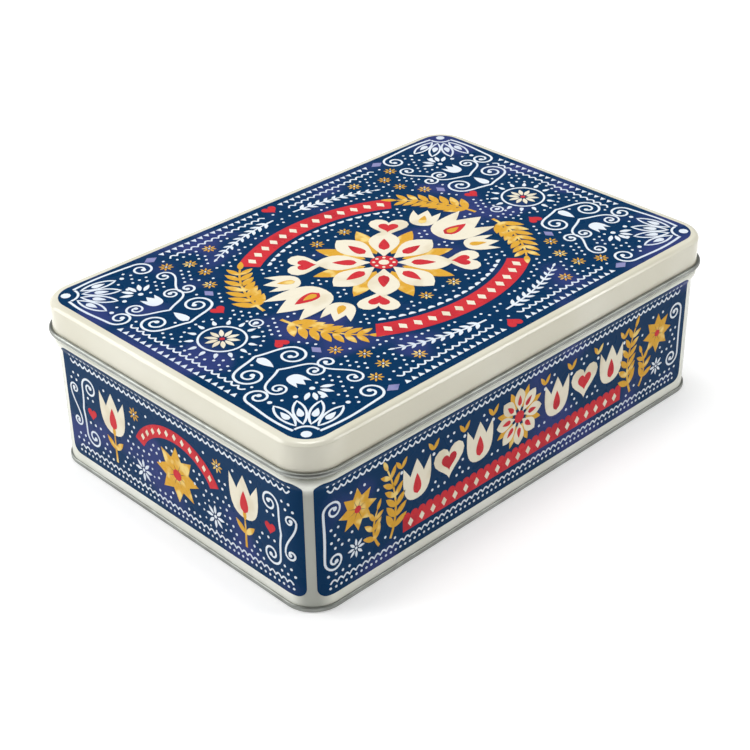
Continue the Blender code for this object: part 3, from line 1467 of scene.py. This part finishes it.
class LidPrint:
    """Print of the lid: a navy field with a folk garden in cream, gold, red, white and lilac."""

    margin: float = 3.7
    field_corner: float = 10.0
    stem_x: float = 85.0

    def __init__(self, sizes: TinSizes, works: PrintWorks) -> None:
        """Keep the sizes of the printed field."""
        self.works = works
        self.height = sizes.height
        self.half_x = sizes.length / MM / 2 - self.margin
        self.half_y = sizes.width / MM / 2 - self.margin
        self.art = Drawing()

    def _field(self) -> None:
        """Lay the navy ground."""
        outline = rounded_path(2 * self.half_x, 2 * self.half_y, self.field_corner, 16)
        self.art.fill(Ink.NAVY, outline, level=0)

    def _border(self) -> None:
        """Run a row of triangles and a line of arches along each edge, with hearts and diamonds on the long
        ones.
        """
        art = self.art
        x, y = self.half_x - 3.2, self.half_y - 3.4
        art.row(Motif.TRIANGLE, Ink.WHITE, (-58.0, y), (-7.0, y), 3.4, 2.6, 180, mirrors=QUARTERS)
        art.wave(Ink.WHITE, (-58.0, y - 6.4), (-7.0, y - 6.4), 3.6, 1.6, mirrors=QUARTERS)
        art.put(Motif.HEART, Ink.RED, 0.0, y - 5.4, 7.0, mirrors=UPRIGHTS)
        art.put(Motif.DIAMOND, Ink.LILAC, 64.5, y - 1.6, 6.4, 90, mirrors=QUARTERS)
        art.row(Motif.TRIANGLE, Ink.WHITE, (x, -33.0), (x, 33.0), 3.4, 2.6, 90, mirrors=HALVES)
        art.wave(Ink.WHITE, (x - 6.2, -33.0), (x - 6.2, 33.0), 3.6, -1.6, mirrors=HALVES)

    def _corners(self) -> None:
        """Open a quarter flower in each corner, with a curl along both edges."""
        art = self.art
        x, y = self.half_x - 4.6, self.half_y - 4.6
        for step in range(4):
            lean = 11.25 + 22.5 * step
            way = np.array([-math.cos(math.radians(lean)), -math.sin(math.radians(lean))])
            side = np.array([-way[1], way[0]])
            foot = np.array([x, y]) + 7.0 * way
            tip = foot + 15.0 * way
            low, high, out = 5 * way, 11 * way, 3.1 * side
            right = bezier(foot, foot + low + out, foot + high + out, tip, steps=10)
            left = bezier(tip, foot + high - out, foot + low - out, foot, steps=10)
            art.draw(Ink.WHITE, chain(right, left)[:-1], 0.9, mirrors=QUARTERS, closed=True)
            art.put(Motif.DROP, Ink.WHITE, *(foot + 4.6 * way), 5.8, lean + 90, mirrors=QUARTERS)
            art.put(Motif.DOT, Ink.WHITE, *(tip + 2.8 * way), 1.9, mirrors=QUARTERS)
        art.draw(Ink.WHITE, arc(x, y, 5.4, 174, 276), 1.0, mirrors=QUARTERS)
        art.put(Motif.DOT, Ink.WHITE, x - 0.4, y - 0.4, 4.0, mirrors=QUARTERS)
        art.scroll(Ink.WHITE, (x - 5.2, y + 1.4), 172, (x - 34.5, y - 4.2), 5.2, 95, 1.4, 1.1, QUARTERS)
        art.scroll(Ink.WHITE, (x + 1.4, y - 5.2), 278, (x - 4.4, y - 30.0), 5.0, -5, -1.4, 1.1, QUARTERS)

    def _ends(self) -> None:
        """Grow scrolls up and down from a flower in the middle of each end."""
        art = self.art
        x = self.stem_x
        art.daisy(Ink.CREAM, x, 0.0, 7.0, 10, Ink.RED, 2, HALVES)
        art.draw(Ink.WHITE, arc(x, 0.0, 9.2, 0, 360)[:-1], 0.9, mirrors=HALVES, closed=True)
        art.ring(Motif.DROP, Ink.WHITE, x, 0.0, 10.6, 3.8, 14, mirrors=HALVES)
        art.ring(Motif.DOT, Ink.WHITE, x, 0.0, 15.6, 1.2, 28, mirrors=HALVES)
        art.put(Motif.DROP, Ink.WHITE, x, 20.0, 9.0, mirrors=QUARTERS)
        art.put(Motif.TULIP, Ink.WHITE, x, 37.6, 8.6, mirrors=QUARTERS)
        for way in (1, -1):
            side = 0 if way > 0 else 180
            low, high = (x + 10.2 * way, 27.4), (x + 8.8 * way, 41.2)
            art.scroll(Ink.WHITE, (x, 18.4), 90 - 68 * way, low, 5.6, side, 1.45 * way, 1.1, QUARTERS)
            art.scroll(Ink.WHITE, (x, 31.4), 90 - 56 * way, high, 3.9, side, 1.35 * way, 1.0, QUARTERS)
        for step in range(-2, 3):
            lean = math.radians(step * 30)
            foot = (x - 3.0 * math.sin(lean), 49.4 + 3.0 * math.cos(lean))
            art.put(Motif.LEAF, Ink.WHITE, *foot, 5.4, step * 30, mirrors=QUARTERS)
        art.put(Motif.DOT, Ink.WHITE, x, 49.6, 2.2, mirrors=QUARTERS)
        art.s_curl(Ink.WHITE, (69.0, 40.4), (69.4, 54.6), 3.8, -1.15, 1.0, QUARTERS)
        art.put(Motif.HEART, Ink.RED, 71.8, 14.6, 6.4, mirrors=QUARTERS)
        art.put(Motif.DIAMOND, Ink.LILAC, 65.8, 31.0, 5.6, mirrors=QUARTERS)
        art.eyelet(Ink.WHITE, 68.2, 0.0, 2.6, HALVES)

    def _rosette(self) -> None:
        """Open the large flower in the middle."""
        art = self.art
        art.ring(Motif.LEAF, Ink.GOLD, 0.0, 0.0, 8.0, 22.5, 8, 22.5)
        art.ring(Motif.PETAL, Ink.CREAM, 0.0, 0.0, 5.0, 23.0, 8, level=2)
        art.ring(Motif.DROP, Ink.RED, 0.0, 0.0, 11.0, 10.0, 8, level=3)
        art.put(Motif.DOT, Ink.RED, 0.0, 0.0, 11.6, level=3)
        art.put(Motif.DOT, Ink.CREAM, 0.0, 0.0, 4.4, level=4)
        art.ring(Motif.DOT, Ink.CREAM, 0.0, 0.0, 4.1, 1.4, 8, level=4)

    def _blooms(self) -> None:
        """Set tulips and hearts round the middle flower."""
        art = self.art
        art.put(Motif.TULIP, Ink.CREAM, 32.0, 0.0, 26.0, -90, mirrors=HALVES)
        art.put(Motif.DROP, Ink.RED, 35.6, 0.0, 13.0, -90, level=2, mirrors=HALVES)
        art.put(Motif.DROP, Ink.GOLD, 37.2, 0.0, 7.0, -90, level=3, mirrors=HALVES)
        art.put(Motif.HEART, Ink.CREAM, 17.6, 15.8, 17.0, -48, mirrors=QUARTERS)
        art.put(Motif.HEART, Ink.RED, 20.2, 18.2, 8.6, -48, level=2, mirrors=QUARTERS)
        art.put(Motif.TULIP, Ink.CREAM, 34.0, 12.6, 15.0, -58, mirrors=QUARTERS)
        art.put(Motif.DROP, Ink.GOLD, 35.8, 13.8, 7.4, -58, level=2, mirrors=QUARTERS)

    def _bands(self) -> None:
        """Arch a red band with cream diamonds over and under the middle."""
        art = self.art
        outer = arc(0.0, 0.0, 68.0, 50, 130, 0.77)
        inner = arc(0.0, 0.0, 58.0, 130, 50, 0.745)
        art.fill(Ink.RED, np.concatenate([outer, inner]), mirrors=UPRIGHTS)
        for number in range(-6, 7):
            angle = math.radians(90 + number * 5.9)
            art.put(Motif.DIAMOND, Ink.CREAM, 63.0 * math.cos(angle), 47.8 * math.sin(angle), 5.0, level=2,
                    mirrors=UPRIGHTS)
        for number in range(-8, 9):
            angle = math.radians(90 + number * 4.6)
            art.put(Motif.SCALLOP, Ink.WHITE, 55.6 * math.cos(angle), 40.9 * math.sin(angle), 3.2,
                    180 + number * 3.4, mirrors=UPRIGHTS)

    def _garlands(self) -> None:
        """Curve gold leaves round both sides of the middle and white ones over the red bands."""
        art = self.art
        path = arc(0.0, 0.0, 60.2, 5, 42, 0.92)
        art.garland(Ink.GOLD, path, 4.5, 11.0, 44, 1.4, QUARTERS)
        over = arc(0.0, 0.0, 82.0, 86, 57, 0.745)
        art.garland(Ink.WHITE, over, 3.9, 4.8, 40, 0.9, QUARTERS)

    def build(self) -> list[bpy.types.Object]:
        """Draw the lid's artwork and print it.

        Returns:
            One piece for each ink.
        """
        for part in (self._field, self._border, self._corners, self._ends, self._rosette, self._blooms,
                     self._bands, self._garlands):
            part()
        self.art.fill_gaps((self.half_x - 4.5, self.half_y - 4.5), (2.2, 2.2), self.half_x, QUARTERS)
        made = []
        for ink in self.art.inks():
            piece = self.works.piece(f"lid_print_{ink.value}", ink, self.art)
            self.works.bench.settle(piece)
            piece.data.transform(Matrix.Translation((0.0, 0.0, self.height)))
            smooth(piece)
            made.append(piece)
        return made


class WallPrint:
    """Print of the walls: a navy panel on each side with a frieze of flowers."""

    gap: float = 3.7
    into_bend: float = 1.2
    low: float = 6.25
    panel_corner: float = 4.0
    bend_steps: int = 8
    ridge_rows: int = 17
    flat_rows: int = 8
    weld: float = 0.002
    ground_depth: float = 0.2

    def __init__(self, sizes: TinSizes, trees: Trees, works: PrintWorks) -> None:
        """Keep the sizes of the panels."""
        self.sizes = sizes
        self.trees = trees
        self.works = works
        length = (sizes.length - 2 * sizes.body_inset) / MM
        width = (sizes.width - 2 * sizes.body_inset) / MM
        corner = sizes.body_corner / MM
        turn = corner * math.pi / 2
        straight = {Side.FRONT: length - 2 * corner, Side.RIGHT: width - 2 * corner}
        total = 2 * (straight[Side.FRONT] + straight[Side.RIGHT]) + 4 * turn
        quarter_way = straight[Side.FRONT] / 2 + turn + straight[Side.RIGHT] / 2
        further = (turn - self.gap) / 2
        aside = (further - self.into_bend) / 2
        self.middles = {
            Side.FRONT: -aside,
            Side.RIGHT: quarter_way + aside,
            Side.BACK: total / 2 - aside,
            Side.LEFT: total - quarter_way + aside,
        }
        self.halves = {side: (straight[side] + further + self.into_bend) / 2 for side in straight}
        self.high = sizes.ridge_peak / MM
        self.art = Drawing()
        self.strips: list[tuple[Points, Points]] = []

    def _ground(self) -> None:
        """Lay the navy panels as fine grids that can bend round the corners and over the ridge."""
        start = self.sizes.ridge_start / MM
        corner = self.panel_corner
        bends = [corner * (1 - math.cos(step / self.bend_steps * math.pi / 2))
                 for step in range(self.bend_steps + 1)]
        rows = sorted({self.low + bend for bend in bends} | {self.high - bend for bend in bends}
                      | set(np.linspace(start, self.high, self.ridge_rows))
                      | set(np.linspace(self.low + corner, start, self.flat_rows)))
        for side in Side:
            half = self.halves[Side.FRONT if side in (Side.FRONT, Side.BACK) else Side.RIGHT]
            for below, above in zip(rows, rows[1:]):
                self._strip(self.middles[side], half, below, above)

    def _strip(self, middle: float, half: float, below: float, above: float) -> None:
        """Lay one strip of a panel's ground between two heights."""
        def reach(height: float) -> float:
            """Return the panel's half length at a height."""
            into = max(self.low + self.panel_corner - height, height - (self.high - self.panel_corner), 0.0)
            into = min(into, self.panel_corner)
            return half - self.panel_corner + math.sqrt(self.panel_corner ** 2 - into ** 2)

        share = np.linspace(-1.0, 1.0, 2 * round(half) + 1)
        bottom = np.column_stack([middle + share * reach(below), np.full(len(share), below)])
        top = np.column_stack([middle + share * reach(above), np.full(len(share), above)])
        self.strips.append((bottom, top))

    def _long_panel(self) -> Drawing:
        """Draw the frieze of a long side, centred on its middle."""
        art = Drawing()
        half = self.halves[Side.FRONT]
        self._edging(art, half)
        middle = 36.0
        art.fill(Ink.RED, self._bar(-64.0, 64.0, 14.6, 20.6))
        art.row(Motif.DIAMOND, Ink.CREAM, (-60.0, 17.6), (60.0, 17.6), 6.0, 4.0, level=2)
        art.row(Motif.SCALLOP, Ink.RED, (-62.0, 20.5), (62.0, 20.5), 4.0, 4.0)
        art.ring(Motif.LEAF, Ink.GOLD, 0.0, middle, 4.0, 9.6, 8, 22.5)
        art.ring(Motif.PETAL, Ink.CREAM, 0.0, middle, 2.4, 10.6, 8, level=2)
        art.ring(Motif.DROP, Ink.RED, 0.0, middle, 5.0, 4.8, 8, level=3)
        art.put(Motif.DOT, Ink.RED, 0.0, middle, 5.4, level=3)
        for x in (22.4, 56.4):
            art.put(Motif.TULIP, Ink.CREAM, x, 26.6, 17.6, mirrors=HALVES)
            art.put(Motif.DROP, Ink.RED, x, 28.8, 9.0, level=2, mirrors=HALVES)
        art.put(Motif.HEART, Ink.CREAM, 39.4, 26.8, 16.4, mirrors=HALVES)
        art.put(Motif.HEART, Ink.RED, 39.4, 30.6, 8.2, level=2, mirrors=HALVES)
        tall = bezier((70.6, 15.6), (66.6, 24.0), (66.4, 34.0), (71.4, 46.0), steps=30)
        art.garland(Ink.GOLD, tall, 4.0, 8.4, 44, 1.2, HALVES)
        short = bezier((76.4, 15.6), (80.0, 21.0), (79.6, 26.0), (77.0, 31.6), steps=22)
        art.garland(Ink.GOLD, short, 4.0, 7.4, 44, 1.2, HALVES)
        art.ring(Motif.RHOMB, Ink.GOLD, 86.6, 37.2, 0.5, 8.8, 8, mirrors=HALVES)
        art.put(Motif.DOT, Ink.RED, 86.6, 37.2, 3.2, level=2, mirrors=HALVES)
        art.daisy(Ink.WHITE, 87.8, 20.6, 4.2, mirrors=HALVES)
        art.scroll(Ink.WHITE, (102.2, 32.0), 90, (98.2, 42.6), 4.2, 0, 1.4, 1.0, HALVES)
        art.scroll(Ink.WHITE, (102.2, 32.0), 270, (98.2, 20.6), 4.2, 0, -1.4, 1.0, HALVES)
        for x in (15.0, 31.0, 47.6, 64.4):
            art.put(Motif.LEAF, Ink.GOLD, x, 43.6, 5.0, 34, mirrors=HALVES)
            art.put(Motif.LEAF, Ink.GOLD, x, 43.6, 5.0, -34, mirrors=HALVES)
            art.put(Motif.DOT, Ink.WHITE, x, 41.8, 1.5, mirrors=HALVES)
        art.fill_gaps((half - 6.0, 34.0), (2.2, 14.6), 92.0, HALVES)
        return art

    def _short_panel(self) -> Drawing:
        """Draw the frieze of a short side, centred on its middle."""
        art = Drawing()
        half = self.halves[Side.RIGHT]
        self._edging(art, half)
        middle = 27.6
        art.ring(Motif.RHOMB, Ink.GOLD, 0.0, middle, 0.6, 12.0, 8)
        art.put(Motif.DOT, Ink.RED, 0.0, middle, 5.0, level=2)
        outer = arc(0.0, middle - 3.6, 27.0, 24, 156, 0.86)
        inner = arc(0.0, middle - 3.6, 21.6, 156, 24, 0.83)
        art.fill(Ink.RED, np.concatenate([outer, inner]))
        for number in range(-5, 6):
            angle = math.radians(90 + number * 11)
            spot = (24.3 * math.cos(angle), middle - 3.6 + 20.6 * math.sin(angle))
            art.put(Motif.DIAMOND, Ink.CREAM, *spot, 3.2, level=2)
        art.put(Motif.TULIP, Ink.CREAM, 39.0, 27.6, 19.0, mirrors=HALVES)
        art.put(Motif.DROP, Ink.RED, 39.0, 30.0, 9.8, level=2, mirrors=HALVES)
        stem = np.array([(39.0, 14.6 + step) for step in range(13)])
        art.garland(Ink.GOLD, stem, 4.2, 8.6, 46, 1.2, HALVES)
        art.daisy(Ink.WHITE, 21.6, 19.4, 5.2, mirrors=HALVES)
        art.ring(Motif.DOT, Ink.WHITE, 21.6, 19.4, 6.6, 0.9, 12, mirrors=HALVES)
        art.scroll(Ink.WHITE, (58.8, 31.0), 100, (53.4, 42.4), 4.6, 0, 1.4, 1.0, HALVES)
        art.scroll(Ink.WHITE, (58.8, 31.0), 260, (53.4, 19.6), 4.6, 0, -1.4, 1.0, HALVES)
        art.s_curl(Ink.WHITE, (63.5, 24.0), (63.5, 38.6), 2.7, 1.1, 0.9, HALVES)
        art.put(Motif.HEART, Ink.RED, 53.0, 28.0, 5.6, mirrors=HALVES)
        art.fill_gaps((half - 6.0, 34.0), (2.2, 14.6), 57.0, HALVES)
        return art

    def _edging(self, art: Drawing, half: float) -> None:
        """Run rows of dots and arches along the foot and the head of a panel.

        Args:
            art: The panel's drawing.
            half: Half of the panel's length.
        """
        reach = half - 5.0
        art.row(Motif.DOT, Ink.WHITE, (-reach, 9.0), (reach, 9.0), 2.5, 1.15)
        art.wave(Ink.WHITE, (-reach, 10.8), (reach, 10.8), 3.1, 1.4, 0.7)
        art.wave(Ink.WHITE, (-reach, 52.2), (reach, 52.2), 3.1, -1.4, 0.7)
        art.row(Motif.DOT, Ink.WHITE, (-reach, 54.0), (reach, 54.0), 2.5, 1.15)

    @staticmethod
    def _bar(left: float, right: float, low: float, high: float) -> Points:
        """Return the outline of a bar."""
        return np.array([(left, low), (right, low), (right, high), (left, high)])

    def build(self) -> list[bpy.types.Object]:
        """Draw the walls' artwork and lay it round the tin.

        Returns:
            One piece for each ink.
        """
        self._ground()
        for side in Side:
            panel = self._long_panel() if side in (Side.FRONT, Side.BACK) else self._short_panel()
            self.art.take(panel, self.middles[side])
        sizes = self.sizes
        path = self.works.bench.path(sizes, sizes.body_inset, sizes.body_corner)
        made = []
        for ink in [Ink.NAVY] + [ink for ink in self.art.inks() if ink is not Ink.NAVY]:
            piece = self.works.piece(f"wall_print_{ink.value}", ink, self.art)
            if ink is Ink.NAVY:
                self._lay_ground(piece)
            self.works.bench.fit(piece, self.trees.wrap, Path=path, Ridge_start=sizes.ridge_start,
                                 Ridge_peak=sizes.ridge_peak, Ridge_overhang=sizes.ridge_overhang,
                                 Material=self.works.inks[ink])
            self.works.bench.settle(piece)
            smooth(piece)
            made.append(piece)
        return made

    def _lay_ground(self, piece: bpy.types.Object) -> None:
        """Give a piece the navy panels' strips as closed thin plates."""
        with edited(piece) as builder:
            for lines in self.strips:
                low, high = ([builder.verts.new((x * MM, y * MM, self.art.ground * MM)) for x, y in line]
                             for line in lines)
                for number in range(len(low) - 1):
                    builder.faces.new((low[number], low[number + 1], high[number + 1], high[number]))
            bmesh.ops.remove_doubles(builder, verts=builder.verts, dist=self.weld * MM)
            bmesh.ops.solidify(builder, geom=builder.faces[:], thickness=self.ground_depth * MM)


def bearing(azimuth: float, elevation: float) -> Vector:
    """Return the way from the tin to an azimuth from its front and an elevation, both in degrees."""
    turn, tilt = math.radians(azimuth), math.radians(elevation)
    return Vector((math.sin(turn) * math.cos(tilt), -math.cos(turn) * math.cos(tilt), math.sin(tilt)))


@dataclass(frozen=True)
class PhotoCamera:
    """Where the photograph was taken from, with angles in degrees."""

    azimuth: float = -43.992
    elevation: float = 31.636
    roll: float = -0.939
    aim_height: float = 35 * MM
    distance: float = 685.91 * MM
    pan: float = -4.14 * MM
    rise: float = -12.56 * MM
    focal_pixels: float = 1648.39
    image_pixels: int = 750
    sensor: float = 36.0

    def build(self) -> None:
        """Set up the scene's camera."""
        turn, lean = math.radians(self.azimuth), math.radians(self.roll)
        back = bearing(self.azimuth, self.elevation)
        level = Vector((math.cos(turn), math.sin(turn), 0.0))
        upright = back.cross(level)
        right = level * math.cos(lean) + upright * math.sin(lean)
        up = upright * math.cos(lean) - level * math.sin(lean)
        data = bpy.data.cameras.new("photo_camera")
        data.sensor_width = self.sensor
        data.lens = self.focal_pixels * self.sensor / self.image_pixels
        camera = bpy.data.objects.new("photo_camera", data)
        place = Vector((0.0, 0.0, self.aim_height)) + back * self.distance + right * self.pan + up * self.rise
        turned = Matrix((right, up, back)).transposed().to_4x4()
        camera.matrix_world = Matrix.Translation(place) @ turned
        bpy.context.scene.collection.objects.link(camera)
        bpy.context.scene.camera = camera


class Lamp(Enum):
    """The studio's soft lights: azimuth, elevation, distance, width, height and power.

    Angles are in degrees, lengths in metres and powers in watts.
    """

    KEY = (-137.0, 34.0, 1.3, 0.8, 0.8, 10.4)
    FILL = (46.0, 36.0, 1.3, 0.4, 0.4, 4.0)
    TOP = (136.0, 84.0, 1.4, 0.6, 0.6, 8.6)


class Studio:
    """A pale floor, soft lights and a bright even surround."""

    floor_size: float = 6.0
    floor_color: Color = (0.8, 0.8, 0.8)
    floor_glow: float = 0.38
    floor_roughness: float = 0.9
    shade_azimuth: float = -45.0
    shade_edge: Pair = (0.2, 0.85)
    shade_level: float = 0.4
    sky: tuple[Pair, ...] = ((0.0, 0.75), (0.1, 0.6), (0.2, 0.22), (0.8, 0.22), (1.0, 0.6))

    def _floor(self) -> None:
        """Lay the floor that the tin stands on."""
        builder = bmesh.new()
        bmesh.ops.create_grid(builder, x_segments=1, y_segments=1, size=self.floor_size / 2)
        mesh = bpy.data.meshes.new("studio_floor")
        builder.to_mesh(mesh)
        builder.free()
        floor = bpy.data.objects.new("studio_floor", mesh)
        bpy.context.scene.collection.objects.link(floor)
        shader = Shader("studio_floor")
        shader.wire("Base Color", self.floor_color)
        shader.wire("Roughness", self.floor_roughness)
        shader.wire("Emission Color", (1.0, 1.0, 1.0))
        shader.wire("Emission Strength", self.floor_glow)
        mesh.materials.append(shader.material)

    def _light(self, lamp: Lamp) -> None:
        """Hang one soft light, facing the tin."""
        azimuth, elevation, distance, width, height, power = lamp.value
        back = bearing(azimuth, elevation)
        data = bpy.data.lights.new(f"{lamp.name.lower()}_light", "AREA")
        data.shape = "RECTANGLE"
        data.size, data.size_y = width, height
        data.energy = power
        light = bpy.data.objects.new(data.name, data)
        facing = back.to_track_quat("Z", "Y").to_matrix().to_4x4()
        light.matrix_world = Matrix.Translation(back * distance) @ facing
        bpy.context.scene.collection.objects.link(light)

    def build(self) -> None:
        """Set up the studio."""
        self._floor()
        for lamp in Lamp:
            self._light(lamp)
        self._surround()
        bpy.context.scene.view_settings.view_transform = "Standard"

    def _surround(self) -> None:
        """Grade the surround: pale round the horizon, darker above it, bright overhead, dim on one side."""
        world = bpy.data.worlds.new("studio_surround")
        world.use_nodes = True
        wiring = Wiring(world.node_tree)
        way = wiring.add("ShaderNodeTexCoord").outputs["Generated"]
        ramp = wiring.add("ShaderNodeValToRGB", {"Fac": wiring.parts(way)["Z"]})
        stops = ramp.color_ramp.elements
        while len(stops) < len(self.sky):
            stops.new(0.5)
        for stop, (place, level) in zip(stops, self.sky):
            stop.position = place
            stop.color = (level, level, level, 1.0)
        turn = math.radians(self.shade_azimuth)
        facing = wiring.add("ShaderNodeVectorMath", {
            0: way,
            1: (math.sin(turn), -math.cos(turn), 0.0),
        }, operation="DOT_PRODUCT")
        start, end = self.shade_edge
        shade = wiring.add("ShaderNodeMapRange", {
            "Value": facing.outputs["Value"],
            "From Min": start,
            "From Max": end,
            "To Min": 1.0,
            "To Max": self.shade_level,
        })
        ground = world.node_tree.nodes["Background"]
        wiring.feed(ground.inputs["Color"], ramp.outputs["Color"])
        wiring.feed(ground.inputs["Strength"], shade.outputs["Result"])
        bpy.context.scene.world = world


def main() -> None:
    """Build the tin, dress it and light it."""
    logging.basicConfig(level=logging.INFO, format="%(name)s: %(message)s")
    sizes = TinSizes.from_frame()
    trees = Trees()
    bench = Workbench()
    PhotoCamera().build()
    Studio().build()
    shell = TinShell(sizes, trees, bench)
    slots = {shell.lid(): "cream_enamel", shell.hem(): "bare_tinplate", shell.walls(): "cream_enamel",
             shell.base(): "bare_tinplate"}
    works = PrintWorks(trees, bench, {ink: finish.material() for ink, finish in INKS.items()})
    for piece in LidPrint(sizes, works).build() + WallPrint(sizes, trees, works).build():
        slots[piece] = "printed_ink"
    bench.clear()
    for piece, slot in slots.items():
        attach(piece, BODY)
        LOG.info("%s: %d faces, %s", piece.name, len(piece.data.polygons), slot)


if __name__ == "__main__":
    main()
